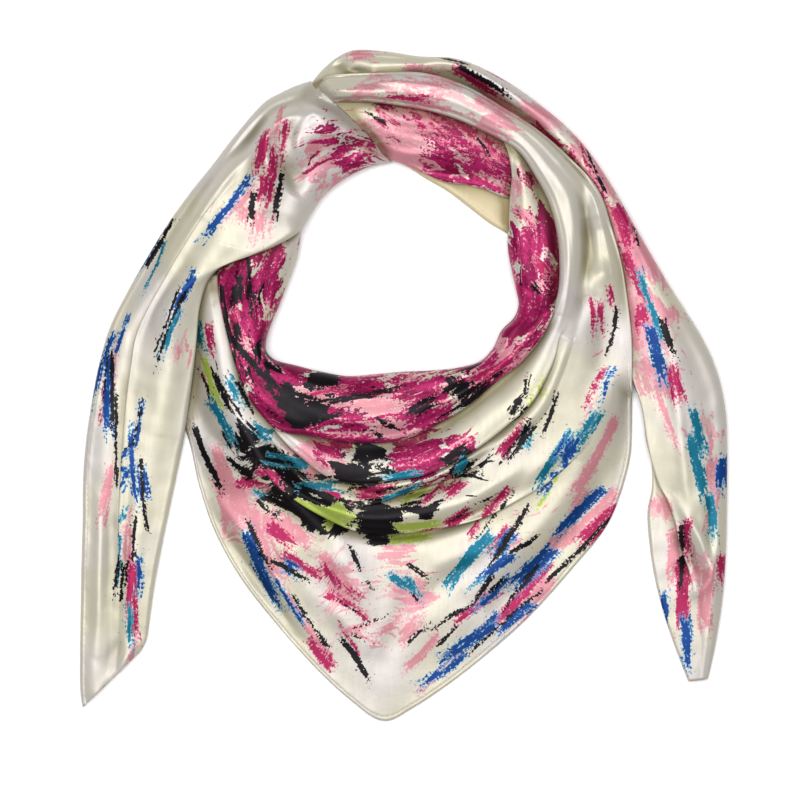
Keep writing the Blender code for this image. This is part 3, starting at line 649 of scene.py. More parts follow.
def build_forms():
    """Every stretch, lowest first: its points as rings, its top, its sections' ways and the painted shade
    of its hollows.
    """
    heap = Heap()
    forms = {}
    for name, make in MAKE.items():
        read = read_rows(make.table, make.spacing)
        edges = np.array([(row[:2], row[-3:-1]) for row in read])
        unders = smoothed(heap.underside(edges.reshape(-1, 2)).reshape(-1, 2), EASE / make.spacing)
        parts = [section(row, make, heap, under) for row, under in zip(read, unders)]
        tops = np.array([part[0] for part in parts])
        ways = np.array([part[4] for part in parts])
        # each top is evened out once from side to side
        tops[:, 3:-3] = 0.25 * tops[:, 2:-4] + 0.5 * tops[:, 3:-3] + 0.25 * tops[:, 4:-2]
        rise = len(UP_ANGLES)
        weight = np.ones(tops.shape[1])
        weight[:rise] = np.sin(np.radians(UP_ANGLES)) ** 2
        weight[-rise:] = weight[:rise][::-1]
        tops = creased(name, tops, weight)
        if name in HEM_SHOWS:
            away = np.linalg.norm(tops[:, :, :2] - tops[:, -1:, :2], axis=2)
            first, full = HEM_SHOWS[name]
            shows = np.clip((first - tops[:, -1, 1]) / (first - full), 0, 1)[:, None]
            tops[..., 2] += hem_rise(tops, away, make.seed) * shows
        clear = heap.underside(tops[:, rise:-rise, :2].reshape(-1, 2)).reshape(len(tops), -1)
        tops[:, rise:-rise, 2] = np.maximum(tops[:, rise:-rise, 2], clear + LEAST_WALL)
        heap.lay(tops)
        rings = np.concatenate([tops] + [np.array([part[k] for part in parts]) for k in (1, 2, 3)], axis=1)
        if name in TUCKED:
            deep, over = TUCKED[name]
            far = np.linalg.norm(rings[..., :2] - rings[:1, :, :2], axis=2)
            down = deep * np.clip(1 - far / over, 0, 1) ** TUCK_CURVE
            rings[..., 2] = np.maximum(rings[..., 2] - down, TUCK_FLOOR)
            tops = rings[:, : tops.shape[1]]
        base = rise + make.counts[0] // 2
        forms[name] = {"rings": rings, "tops": tops, "ways": ways, "base": base, "seed": make.seed}
    forms["neck_ring"] = joined(forms.pop("shoulder_roll"), forms.pop("neck_roll"))
    even, round_about = (
        smoothed(smoothed(grid, HOLLOW_SPREAD).T, HOLLOW_SPREAD).T
        for grid in (heap.height, (heap.height > 0).astype(float))
    )
    # Painted shade: a point darkens the further it lies under the heap's evened-out height, less where the
    # cloth is open at the side and near a tucked start
    for name, form in forms.items():
        under = heap.level(even, form["rings"][..., :2]) - form["rings"][..., 2]
        begins, full = OPEN_SIDE
        inside = (heap.level(round_about, form["rings"][..., :2]) - begins) / (full - begins)
        form["hollow"] = np.clip(under / HOLLOW_DEEP, 0, 1) * np.clip(inside, 0, 1)
        if name in TUCKED:
            far = np.linalg.norm(form["rings"][..., :2] - form["rings"][:1, :, :2], axis=2)
            form["hollow"] *= START_SHADE + (1 - START_SHADE) * np.clip(far / START_REACH, 0, 1)
    return forms


def joined(first, second):
    """Two stretches of one roll as one, eased into each other where they meet."""
    both = dict(first)
    for key in ("rings", "tops", "ways"):
        both[key] = np.concatenate([first[key], second[key]])
    at, reach = len(first["rings"]), JOIN_REACH
    for key in ("rings", "tops"):
        eased = smoothed(both[key], JOIN_SPREAD)
        share = np.clip(1 - np.abs(np.arange(len(eased)) - at) / reach, 0, 1)[:, None, None]
        share = share * share * (3 - 2 * share)
        both[key] = both[key] * (1 - share) + eased * share
    return both


def hem_rise(tops, away, seed):
    """The turned hem: a raised band along an edge, with a groove at its stitching and small puckers."""
    rises, falls = HEM_EDGES
    band = np.clip(away / rises, 0, 1) - np.clip((away - HEM_WIDTH + falls) / falls, 0, 1)
    depth, half = HEM_GROOVE
    groove = np.exp(-(((away - HEM_WIDTH) / half) ** 2))
    height, shortest, longest, reach = PUCKER
    pucker = waves(tops[..., :2], seed + 7, height, shortest, longest) * np.exp(-((away / reach) ** 2))
    return HEM_RISE * np.clip(band, 0, 1) - depth * groove + pucker


def across(form):
    """How far over the cloth each point is from its ring's base point."""
    rings, base = form["rings"], form["base"]
    steps = np.linalg.norm(np.diff(rings, axis=1), axis=2)
    length = np.concatenate([np.zeros((len(rings), 1)), np.cumsum(steps, axis=1)], axis=1)
    return length - length[:, base : base + 1]


def unfolded(form):
    """Where each point of the rings lies on the cloth if its folds are opened out in the plane."""
    rings, ways, base = form["rings"], form["ways"], form["base"]
    length = across(form)
    forward = np.einsum("ijk,ik->ij", rings[..., :2] - rings[:, base : base + 1, :2], ways)
    return rings[..., :2] + ways[:, None] * (length - forward)[..., None]


def add_object(name, data):
    thing = bpy.data.objects.new(name, data)
    bpy.context.scene.collection.objects.link(thing)
    return thing


def add_mesh(name, points, faces):
    mesh = bpy.data.meshes.new(name)
    mesh.from_pydata(((points - CENTRE) * MM).tolist(), [], faces)
    mesh.update()
    mesh.shade_smooth()
    return add_object(name, mesh)


def ring_faces(stations, size):
    """Faces of a closed form through rings, with a fan at each end round a point added at the end."""
    here = np.arange(stations - 1)[:, None] * size + np.arange(size)
    following = np.arange(stations - 1)[:, None] * size + (np.arange(size) + 1) % size
    quads = np.stack([here, here + size, following + size, following], axis=-1).reshape(-1, 4)
    first, last = stations * size, stations * size + 1
    start = [(first, k, (k + 1) % size) for k in range(size)]
    base = (stations - 1) * size
    end = [(last, base + (k + 1) % size, base + k) for k in range(size)]
    return quads.tolist() + start + end


def outward(points, faces):
    """The faces, turned round if the form that they close would be inside out."""
    volume = 0.0
    for face in faces:
        a = points[face[0]]
        for second, third in zip(face[1:], face[2:]):
            volume += a @ np.cross(points[second], points[third])
    return faces if volume > 0 else [face[::-1] for face in faces]


# ---------------------------------------------------------------- print
# The print is painterly: bundles of dry brush strokes, dabs, and clouds of colour with flecks.
# It is generic. Its strokes are laid out here by rule, from seeded random numbers.
INKS = ("pink", "magenta", "lime", "teal", "blue", "black")
# Where strokes go: piece, line that they follow, how far off it they lie, bundles, the length and
# the width of a stroke, the turn from the line's way in degrees, and the inks that they take.
ZONES = (
    ("right_winding", ((-100, 115), (-126, 70), (-146, 20), (-156, -40), (-161, -100), (-161, -150)),
     16, 17, (24, 60), (2, 7), 0, "blue blue teal pink pink black black magenta"),
    ("right_winding", ((-56, 148), (-72, 112), (-92, 82)),
     14, 4, (18, 40), (3, 9), 20, "black pink pink magenta"),
    ("left_winding", ((-20, 177), (30, 172), (75, 148), (105, 118), (128, 75), (140, 30)),
     12, 11, (20, 46), (2, 9), 0, "pink pink magenta black pink magenta"),
    ("left_winding", ((140, 30), (154, -20), (160, -80), (162, -154)),
     11, 10, (22, 52), (2, 9), 0, "pink pink black blue magenta teal"),
    ("front", ((-110, -36), (-88, -82), (-58, -122), (-24, -162)),
     8, 7, (24, 56), (2, 9), 0, "blue black pink pink magenta blue"),
    ("front", ((116, -48), (88, -88), (52, -130), (14, -166)),
     9, 9, (28, 60), (2, 9), 0, "blue black pink magenta pink teal blue"),
    ("front", ((-84, -58), (-50, -94), (-18, -122)),
     9, 4, (22, 44), (2, 10), 0, "pink magenta pink black pink"),
    ("front", ((98, -20), (72, -66), (28, -104)),
     9, 6, (20, 50), (2, 8), 0, "pink teal black lime blue"),
    ("front", ((104, 60), (110, 30), (110, 0), (102, -24)),
     8, 5, (16, 44), (1.5, 5), 0, "black blue pink blue magenta"),
    ("front", ((-30, 160), (10, 160), (50, 148)),
     5, 5, (14, 34), (2, 6), 0, "magenta pink pink black"),
    ("front", ((-104, 26), (-97, -10), (-76, -42), (-40, -58), (0, -62), (32, -50), (66, -22), (84, 6)),
     8, 20, (14, 34), (2.5, 8), 14, "black teal black black lime black magenta teal"),
    ("front", ((-108, 0), (-92, -36), (-60, -66), (-12, -78), (30, -70), (62, -50)),
     6, 10, (18, 44), (2.5, 8), 6, "black black teal lime magenta black"),
    ("front", ((-66, -88), (-38, -116), (-10, -140)),
     10, 5, (16, 40), (2, 8), 0, "pink black magenta blue pink"),
    ("front", ((64, -86), (38, -114), (10, -142)),
     9, 5, (16, 40), (1.5, 7), 0, "pink blue black pink magenta"),
    ("front", ((-28, -100), (-6, -108), (20, -112)),
     9, 4, (12, 26), (2.5, 8), -35, "pink pink black teal pink"),
    ("front", ((-22, -132), (0, -136), (18, -132)),
     7, 3, (12, 26), (2, 6), 30, "pink black magenta pink"),
    ("neck_ring", ((-92, 60), (-88, 20), (-66, -8), (-20, -14), (24, -6), (60, 20)),
     11, 12, (18, 44), (3, 9), 6, "black black magenta pink black"),
    ("neck_ring", ((68, 120), (72, 90), (72, 60), (74, 44)),
     7, 4, (8, 24), (3, 8), 40, "black magenta pink"),
    ("nape_fold", ((-10, 145), (20, 138), (50, 125)),
     9, 6, (14, 34), (3, 8), -20, "magenta magenta pink black"),
)

# How strokes fall in a zone
ZONE_STEP = 1.0  # distance in mm between the points of its line
ZONE_SEED = 900  # the first zone's seed
BUNDLE_PLACE = (0.15, 0.85)  # where in its part of the line a bundle lies
BUNDLE_MOST = 3  # strokes in a bundle, at most
TURN_SPREAD = 7  # degrees by which a bundle's turn varies
BLACK_WIDTH = 0.45  # how wide a black stroke is beside others
SHIFT = (-0.35, 0.35)  # how far a stroke slips along itself, as a share of its length
BEND = 0.03  # its bend, as a share of its length
NEXT_STROKE = (0.55, 1.3)  # how far off the next one lies, in widths
NEXT_SAME_SIDE = 0.7  # how often that is on the same side
STROKE_POINTS = 9

# How strokes are stored on a form: depth under the stroke's edge, way along it and way across it
NO_INK = -9.0  # depth where there is no stroke
DEEPEST = 1.6
END_TAPER = (0.35, 1.1)  # depth gained for each mm from an end, and what is taken off it
SEED_APART = 37.0  # distance between the patterns of two seeds
HEIGHT_COUNTS = 0.15  # how much a higher point counts as nearer to a stroke seen from above
LEAST_STEP = 0.8  # points of a stroke nearer than this to the last one are left out
STROKE_REACH = (3, 6)  # how far off a stroke points are painted: times its half width, and mm more
FLOW_APART, CLOTH_APART = 37.0, 211.0  # distances between the patterns of two forms

# Clouds of colour, by piece: x, y, radius, 0 for magenta, 1 for pink or 2 for black, and strength
CLOUDS = {
    "neck_ring": (
        (-84, 78, 26, 0, 0.95), (-86, 50, 30, 0, 1.0), (-84, 20, 30, 0, 1.0), (-66, -8, 30, 0, 1.0),
        (-28, -14, 34, 0, 1.0), (10, -8, 30, 0, 0.9), (44, 4, 26, 0, 0.85), (66, 28, 24, 0, 0.85),
        (76, 42, 16, 0, 0.8), (-96, 50, 16, 1, 0.9), (-10, -16, 26, 1, 0.9), (56, 14, 22, 1, 0.9),
        (-78, 12, 24, 2, 0.68), (36, 0, 22, 2, 0.74), (-14, -18, 26, 2, 0.55), (-56, -12, 17, 2, 1.15),
        (-44, 0, 12, 2, 1.0), (-90, 52, 18, 2, 0.6), (72, 60, 14, 2, 0.5), (68, 114, 10, 0, 0.7),
        (72, 78, 24, 0, 1.0), (74, 56, 22, 0, 1.0), (66, 48, 16, 1, 0.9), (66, 112, 14, 1, 0.6),
    ),
    "nape_fold": (
        (-4, 146, 24, 0, 0.65), (26, 128, 26, 0, 0.8), (50, 118, 20, 0, 0.95), (10, 136, 40, 1, 0.95),
        (46, 128, 30, 1, 0.9),
    ),
    "right_winding": (
        (-38, 141, 13, 0, 0.75), (-28, 126, 22, 0, 0.8), (-50, 120, 16, 0, 0.6), (-40, 122, 30, 1, 0.65),
        (-120, 20, 14, 1, 0.5), (-150, -120, 14, 1, 0.3), (-104, 98, 18, 1, 0.4),
    ),
    "left_winding": (
        (76, 150, 18, 1, 0.75), (104, 120, 30, 1, 0.8), (126, 76, 34, 1, 0.95), (120, 84, 20, 0, 0.75),
        (130, 36, 26, 1, 0.9), (138, 4, 22, 1, 0.7), (-20, 180, 14, 1, 0.4), (142, -66, 10, 1, 0.7),
        (160, -100, 16, 1, 0.6), (164, -24, 18, 1, 0.55),
    ),
    "front": (
        (-16, 162, 22, 1, 0.6), (14, 158, 26, 1, 0.65), (52, 146, 22, 1, 0.7), (-12, 152, 12, 0, 0.6),
        (-46, -38, 20, 1, 0.8), (8, -40, 20, 0, 1.05), (30, -34, 13, 0, 0.85), (-4, -92, 17, 1, 0.75),
        (-40, -36, 16, 0, 0.75), (-20, -48, 24, 2, 0.8), (6, -116, 18, 1, 0.72), (-14, -142, 13, 1, 0.55),
        (-66, -52, 20, 2, 0.85), (-48, -68, 15, 2, 0.95), (-18, -74, 18, 2, 0.85), (-88, -30, 13, 2, 0.9),
        (-100, -2, 18, 2, 0.7), (36, -44, 20, 2, 0.72), (66, -14, 14, 2, 0.66), (6, -66, 18, 2, 0.66),
        (-88, -70, 24, 1, 0.6), (-34, -112, 26, 1, 0.62), (74, -66, 22, 1, 0.45), (112, 16, 18, 1, 0.4),
        # These black clouds lie along the cowl's valley: black print, and partly painted shade of that
        # valley
        (-60, -60, 15, 2, 1.1), (-37, -73, 15, 2, 1.1), (-13, -77, 15, 2, 1.1), (-77, -43, 13, 2, 1.0),
    ),
}


def strokes_for(name):
    """This piece's strokes: ink, line in the plane, half width, dryness and a seed."""
    made = []
    for order, (piece, line, spread, count, sizes, widths, turn, inks) in enumerate(ZONES):
        if piece != name:
            continue
        rng = np.random.default_rng(ZONE_SEED + order)
        inks = inks.split()
        curve = smooth_line(line, ZONE_STEP)
        lengths = lengths_along(curve)
        for k in range(count):
            at = (k + rng.uniform(*BUNDLE_PLACE)) / count * lengths[-1]
            middle = np.array([np.interp(at, lengths, curve[:, a]) for a in (0, 1)])
            near = min(int(np.searchsorted(lengths, at)), len(curve) - 2)
            way = curve[near + 1] - curve[near]
            heading = math.atan2(way[1], way[0]) + math.radians(turn + rng.normal(0, TURN_SPREAD))
            way = np.array((math.cos(heading), math.sin(heading)))
            beside = np.array((-way[1], way[0]))
            middle = middle + beside * rng.uniform(-spread, spread)
            offset = 0.0
            for _ in range(rng.integers(1, BUNDLE_MOST + 1)):
                ink = inks[rng.integers(len(inks))]
                size = rng.uniform(*sizes)
                width = rng.uniform(*widths) * (BLACK_WIDTH if ink == "black" else 1.0)
                shift = rng.uniform(*SHIFT) * size
                bend = rng.normal(0, BEND) * size
                points = [
                    middle + way * (t * size + shift) + beside * (offset + bend * (4 * t * t - 1))
                    for t in np.linspace(-0.5, 0.5, STROKE_POINTS)
                ]
                made.append((ink, np.array(points), width / 2, int(rng.integers(1, 99))))
                offset += width * rng.uniform(*NEXT_STROKE) * (1 if rng.random() < NEXT_SAME_SIDE else -1)
    return made


def paint(name, form, thing, points):
    """Stores on the mesh where the strokes and the clouds lie, the painted shade in its hollows, and its
    place on the cloth.
    """
    flat = unfolded(form)
    shape = flat.shape[:2]
    tops = form["tops"]
    seen = tops.reshape(-1, 3)
    seen_flat = flat[:, : tops.shape[1]].reshape(-1, 2)
    inks = {ink: np.zeros((*shape, 3)) for ink in INKS}
    for ink in INKS:
        inks[ink][..., 0] = NO_INK
    for ink, line, half, seed in strokes_for(name):
        places = []
        for spot in line:
            nearest = int(np.argmin(np.hypot(*(seen[:, :2] - spot).T) - HEIGHT_COUNTS * seen[:, 2]))
            places.append(spot + seen_flat[nearest] - seen[nearest, :2])
        places = np.array(places)
        apart = np.hypot(*(places[1:] - places[:-1]).T)
        keep = [0] + [k for k in range(1, len(places)) if apart[k - 1] > LEAST_STEP]
        if len(keep) < 3:
            continue
        curve = places[keep]
        times, more = STROKE_REACH
        low, high = curve.min(axis=0) - times * half - more, curve.max(axis=0) + times * half + more
        inside = np.all((flat > low) & (flat < high), axis=-1)
        distance, signed, along, length = off_line(flat[inside], curve)
        from_end = np.minimum(along, 0.5 * (length - along))
        gain, off = END_TAPER
        depth = np.minimum(np.minimum(half - distance, gain * from_end - off), DEEPEST)
        depth[(along <= 0) | (along >= length)] = NO_INK
        store = inks[ink][inside]
        better = depth > store[:, 0]
        store[better] = np.column_stack([depth, along + SEED_APART * seed, signed])[better]
        inks[ink][inside] = store
    clouds = np.zeros((*shape, 3))
    for x, y, radius, kind, strength in CLOUDS.get(name, ()):
        distance = np.hypot(form["rings"][..., 0] - x, form["rings"][..., 1] - y) / radius
        clouds[..., kind] = np.maximum(clouds[..., kind], strength * np.exp(-(distance**2)))
    extra = len(points) - shape[0] * shape[1]

    def store_vector(key, values):
        layer = thing.data.attributes.new(key, "FLOAT_VECTOR", "POINT")
        full = np.vstack([values.reshape(-1, 3), np.tile(values[-1, -1], (extra, 1))])
        layer.data.foreach_set("vector", full.astype(np.float32).ravel())

    for ink in INKS:
        store_vector("ink_" + ink, inks[ink])
    store_vector("clouds", clouds)
    store_vector("hollow", np.repeat(form["hollow"][..., None], 3, axis=2))
    far = np.broadcast_to(lengths_along(form["rings"][:, form["base"]])[:, None], shape)
    store_vector("flow", np.stack([far, across(form), np.full(shape, FLOW_APART * form["seed"])], axis=-1))
    own = np.concatenate([flat, np.full((*shape, 1), CLOTH_APART * form["seed"])], axis=-1)
    store_vector("cloth", own)
    uv = thing.data.uv_layers.new(name="cloth")
    full = np.vstack([own.reshape(-1, 3)[:, :2], np.zeros((extra, 2))]) * MM
    corners = np.empty(len(thing.data.loops), dtype=np.int32)
    thing.data.loops.foreach_get("vertex_index", corners)
    uv.data.foreach_set("uv", full[corners].astype(np.float32).ravel())


# ---------------------------------------------------------------- materials
CREAM = (0.545, 0.525, 0.425)
WRONG_SIDE = (0.60, 0.52, 0.34)
THREAD = (0.53, 0.50, 0.40)
# Painted shade: HOLLOW_SHADE is the colour that the hollows are darkened towards
HOLLOW_SHADE = (0.43, 0.40, 0.29)  # what is left of each colour in a hollow's full shade
BLACK = (0.006, 0.005, 0.007)
MAGENTA = (0.325, 0.011, 0.092)
WINE = (0.19, 0.005, 0.050)
PINK = (0.53, 0.195, 0.245)
ROSE = (0.55, 0.345, 0.355)

# Each ink's outer and inner tone, how far the inner one stays inside the outer one, in mm, and how
# dry the brush is
INK = {
    "pink": (ROSE, (0.53, 0.22, 0.25), 0.7, 0.9),
    "magenta": ((0.50, 0.16, 0.22), (0.32, 0.013, 0.078), 0.6, 0.9),
    "lime": ((0.45, 0.50, 0.20), (0.31, 0.40, 0.07), 0.5, 0.7),
    "teal": ((0.11, 0.32, 0.39), (0.004, 0.135, 0.215), 0.5, 0.9),
    "blue": ((0.11, 0.28, 0.47), (0.004, 0.045, 0.205), 0.5, 1.0),
    "black": ((0.020, 0.016, 0.018), BLACK, 0.1, 0.6),
}


# The print's noises, as scale for each mm, detail and roughness
GRAIN = (0.62, 2.0, 0.6)
BRISTLES = (1.0, 2.5, 0.65)  # after the scales along and across a stroke
BRISTLE_SCALES = (0.07, 0.5)
DROPS = (0.5, 1.0, 0.6)
BRISTLES_APART = 7.0  # distance between the patterns of two inks
DROPS_FIRST, DROPS_APART = 13.0, 5.0  # the first ink's place in the pattern, and the next one's from it
STRAND_ROUGH = 0.6
# Strands along the winding: scales along and across, an offset that makes each its own, detail, twist
STRANDS = {
    "rose": (0.05, 0.11, 3.1, 5.0, 0.8),
    "pink": (0.07, 0.2, 5.7, 5.0, 0.8),
    "tone": (0.035, 0.12, 9.3, 5.0, 0.8),
    "scratch": (0.05, 0.75, 17.9, 3.0, 0.3),
    "magenta": (0.05, 0.11, 7.3, 5.0, 0.8),
    "black": (0.06, 0.14, 11.7, 5.0, 0.8),
}
# A cloud shows where the first number, with its density, its strands and the grain, each times one
# of the others, is over nought
CLOUD = (-1.25, 2.1, 4.2, 0.9)
PINK_SHARE = 0.8  # how much a pink cloud covers of what is under it
# Magenta clouds hold other tones where the tone's noise is so far up or down
TONES = ((0.035, 1.0, WINE), (0.095, -1.0, PINK), (0.145, -1.0, ROSE))
TONE_GRAIN = 0.40
TONE_SOFT = 0.006
SCRATCH = (0.175, 0.30, 0.01)  # how far up its noise is, its grain, its soft edge
# How far the bristles and the grain of a dry brush move a tone's edge, in mm
DRY_EDGE = (6.5, 6.5)
DRY_CORE = (7.5, 5.5)
# Drops by a stroke: how far up their noise is, what nearness adds, how sharp they are
SPLASH = (0.185, 0.018, 20.0)
SOFT = 0.05  # the soft edge of all the other shapes

# Satin. The scales are for each mm; bumps are a strength and a height in metres
WARM_SHADE = (0.965, 0.96, 0.91)  # shares of the ground's colour in its darker patches
# Painted reflection: lavender patches, placed by noise, that stand in for the light's lavender reflection
# in the satin
LAVENDER_REFLECTION_TINT = (0.96, 0.95, 1.11)  # the same in its cooler ones
SHADE_NOISE = (0.03, 2.0)
REFLECTION_NOISE = (0.014, 1.0)
REFLECTION_RANGE = (0.42, 0.62)
THREADS = (5.0, 1.1)
SLUBS = (0.5, 0.07)
SLUB_RANGE = (0.2, 0.8)
SLUB_ROUGH = 0.05  # how much they change the roughness, each way
CRUMPLES = (0.11, 2.5, 0.55)
CRUMPLE_BUMP = (1.0, 0.00016)
WEAVE_BUMP = (0.10, 0.0002)
GLOSS = {"Specular IOR Level": 0.14, "Sheen Weight": 0.04, "Sheen Roughness": 0.35, "Anisotropic": 0.35}
# Roughness and metallic share, which gives satin its broad gloss
RIGHT_SIDE_GLOSS = (0.43, 0.26)
WRONG_SIDE_GLOSS = (0.5, 0.15)
THREAD_ROUGH = 0.5
PLAIN_NOISE = 3.0
PLAIN_DARK = 0.97


class Shader:
    """A short way to write a material's nodes."""

    def __init__(self, name):
        self.material = bpy.data.materials.new(name)
        self.material.use_nodes = True
        self.nodes = self.material.node_tree.nodes
        self.links = self.material.node_tree.links
        self.surface = self.nodes["Principled BSDF"]

    def put(self, socket, value):
        if isinstance(value, bpy.types.NodeSocket):
            self.links.new(value, socket)
        elif isinstance(value, tuple) and len(value) == 3 and socket.type == "RGBA":
            socket.default_value = (*value, 1.0)
        else:
            socket.default_value = value

    def add(self, kind, inputs, output=0, **settings):
        """A new node's output. The inputs are set in order, or by name if they are a dict."""
        node = self.nodes.new("ShaderNode" + kind)
        for key, value in settings.items():
            setattr(node, key, value)
        named = isinstance(inputs, dict)
        for key, value in inputs.items() if named else enumerate(inputs):
            self.put(node.inputs[key], value)
        return node.outputs[output]

    def attribute(self, name):
        return self.add("Attribute", (), "Vector", attribute_name=name)

    def math(self, operation, *values):
        return self.add("Math", values, operation=operation)

    def sum(self, first, *terms):
        """first, plus each of the terms: a value and what it is multiplied by."""
        for value, factor in terms:
            first = self.math("MULTIPLY_ADD", value, factor, first)
        return first

    def moved(self, vector, offset):
        return self.add("VectorMath", (vector, (offset, -offset, 0.5 * offset)), operation="ADD")

    def split(self, vector):
        node = self.nodes.new("ShaderNodeSeparateXYZ")
        self.put(node.inputs[0], vector)
        return node.outputs

    def scaled(self, x, y, z, scales):
        """A vector of the three, with x and y multiplied by the two scales."""
        x, y = (self.math("MULTIPLY", value, scale) for value, scale in zip((x, y), scales))
        return self.add("CombineXYZ", (x, y, z))

    def noise(self, vector, scale, detail=3.0, rough=0.55, distortion=0.0):
        keys = ("Vector", "Scale", "Detail", "Roughness", "Distortion")
        return self.add("TexNoise", dict(zip(keys, (vector, scale, detail, rough, distortion))), "Fac")

    def centred(self, value):
        return self.math("SUBTRACT", value, 0.5)

    def step(self, value, soft=SOFT):
        """1 where the value is over nought, else 0, with a soft edge this wide each way."""
        return self.ramp(value, -soft, soft)

    def ramp(self, value, low, high, first=0.0, last=1.0):
        return self.add("MapRange", (value, low, high, first, last), "Result")

    def bump(self, height, strength, distance, **normal):
        inputs = {"Height": height, "Strength": strength, "Distance": distance, **normal}
        return self.add("Bump", inputs, "Normal")

    def mix(self, share, a, b, kind="MIX"):
        node = self.nodes.new("ShaderNodeMix")
        node.data_type, node.blend_type = "RGBA", kind
        sockets = [socket for socket in node.inputs if socket.enabled]
        for socket, value in zip(sockets, (share, a, b)):
            self.put(socket, value)
        return next(socket for socket in node.outputs if socket.enabled)


def print_on(s, own, colour):
    """The cloth's colour with its print over it: clouds of colour, scratches and brush strokes."""
    magenta_at, pink_at, black_at = s.split(s.attribute("clouds"))
    grain = s.centred(s.noise(own, *GRAIN))
    flow = s.split(s.attribute("flow"))

    def strands(kind):
        *scales, offset, detail, twist = STRANDS[kind]
        spot = s.moved(s.scaled(*flow, scales), offset)
        return s.centred(s.noise(spot, 1.0, detail, STRAND_ROUGH, twist))

    def cloud(density, kind):
        base, *factors = CLOUD
        return s.step(s.sum(base, *zip((density, strands(kind), grain), factors)))

    colour = s.mix(cloud(pink_at, "rose"), colour, ROSE)
    colour = s.mix(s.math("MULTIPLY", cloud(pink_at, "pink"), PINK_SHARE), colour, PINK)
    tone = s.sum(strands("tone"), (grain, TONE_GRAIN))
    berry = MAGENTA
    for limit, sign, other in TONES:
        berry = s.mix(s.step(s.sum(-limit, (tone, sign)), TONE_SOFT), berry, other)
    limit, by_grain, soft = SCRATCH
    scratch = s.sum(strands("scratch"), (grain, by_grain))
    berry = s.mix(s.step(s.sum(-limit, (scratch, 1.0)), soft), berry, ROSE)
    colour = s.mix(cloud(magenta_at, "magenta"), colour, berry)
    colour = s.mix(cloud(black_at, "black"), colour, BLACK)
    for order, ink in enumerate(INKS):
        outer, inner, inset, dry = INK[ink]
        depth, along, over = s.split(s.attribute("ink_" + ink))
        spot = s.scaled(along, over, BRISTLES_APART * order, BRISTLE_SCALES)
        streak = s.centred(s.noise(spot, *BRISTLES))
        drops = s.centred(s.noise(s.moved(own, DROPS_FIRST + DROPS_APART * order), *DROPS))
        edge = s.sum(depth, (streak, DRY_EDGE[0] * dry), (grain, DRY_EDGE[1] * dry))
        limit, by_depth, sharp = SPLASH
        splash = s.sum(-limit, (drops, 1.0), (depth, by_depth))
        colour = s.mix(s.step(s.math("MAXIMUM", edge, s.math("MULTIPLY", splash, sharp))), colour, outer)
        core = s.sum(-inset, (depth, 1.0), (streak, DRY_CORE[0] * dry), (grain, DRY_CORE[1] * dry))
        colour = s.mix(s.step(core), colour, inner)
    return colour


def silk(name, ground, printed, rough, metal):
    """Silk satin: a soft gloss that the fine weave and slubs break a little."""
    s = Shader(name)
    own = s.attribute("cloth")
    shade = tuple(c * f for c, f in zip(ground, WARM_SHADE))
    # Painted reflection: the ground turns lavender in patches placed by noise
    painted_reflection = tuple(c * f for c, f in zip(ground, LAVENDER_REFLECTION_TINT))
    colour = s.mix(s.noise(own, *SHADE_NOISE), ground, shade)
    colour = s.mix(s.ramp(s.noise(own, *REFLECTION_NOISE), *REFLECTION_RANGE), colour, painted_reflection)
    if printed:
        colour = print_on(s, own, colour)
    # Painted shade: the colour multiplied darker in the hollows
    colour = s.mix(s.split(s.attribute("hollow"))[0], colour, HOLLOW_SHADE, "MULTIPLY")
    place = s.split(own)
    threads, slubs = (s.noise(s.scaled(*place, scales), 1.0, 2.0) for scales in (THREADS, SLUBS))
    crumples = s.bump(s.noise(own, *CRUMPLES), *CRUMPLE_BUMP)
    weave = s.bump(threads, *WEAVE_BUMP, Normal=crumples)
    s.put(s.surface.inputs["Base Color"], colour)
    s.put(s.surface.inputs["Roughness"], s.ramp(slubs, *SLUB_RANGE, rough - SLUB_ROUGH, rough + SLUB_ROUGH))
    s.put(s.surface.inputs["Normal"], weave)
    s.surface.inputs["Metallic"].default_value = metal
    for key, value in GLOSS.items():
        s.surface.inputs[key].default_value = value
    return s.material


def plain(name, colour, rough):
    s = Shader(name)
    own = s.nodes.new("ShaderNodeTexCoord").outputs["Object"]
    dark = tuple(PLAIN_DARK * c for c in colour)
    s.put(s.surface.inputs["Base Color"], s.mix(s.noise(own, PLAIN_NOISE), colour, dark))
    s.put(s.surface.inputs["Roughness"], rough)
    return s.material


def stitches(name, form):
    """The hem's stitches: small spindles of thread that lie along it on the cloth."""
    tops, (long, step, half) = form["tops"], STITCH
    first, full = HEM_SHOWS[name]
    line = []
    for row in tops[2:-2]:
        away = np.linalg.norm(row[:, :2] - row[-1, :2], axis=1)
        near = len(row) // 2 + int(np.argmin(np.abs(away[len(row) // 2 :] - HEM_WIDTH)))
        if row[-1, 1] < 0.5 * (first + full):
            line.append(row[near])
    line = np.array(line)
    far = lengths_along(line)
    points, faces = [], []
    for start in np.arange(step, far[-1] - step, step):
        stops = [start + long * share for share, _ in SPINDLE]
        spots = np.stack([np.interp(stops, far, line[:, axis]) for axis in range(3)], axis=1)
        way = spots[-1] - spots[0]
        beside = half * np.array((-way[1], way[0], 0.0)) / np.hypot(way[0], way[1])
        up = np.array((0.0, 0.0, SPINDLE_FLAT * half))
        base, sides = len(points), SPINDLE_SIDES
        for spot, (_, size) in zip(spots, SPINDLE):
            for k in range(sides):
                turn = math.radians(360 * k / sides)
                points.append(spot + size * (beside * math.cos(turn) + up * math.sin(turn)))
        for ring in range(len(SPINDLE) - 1):
            for k in range(sides):
                a, b = base + sides * ring + k, base + sides * ring + (k + 1) % sides
                faces.append((a, b, b + sides, a + sides))
        last = base + sides * (len(SPINDLE) - 1)
        faces += [tuple(base + sides - 1 - k for k in range(sides)), tuple(last + k for k in range(sides))]
    points = np.array(points)
    return add_mesh(name + "_stitches", points, outward(points, faces))


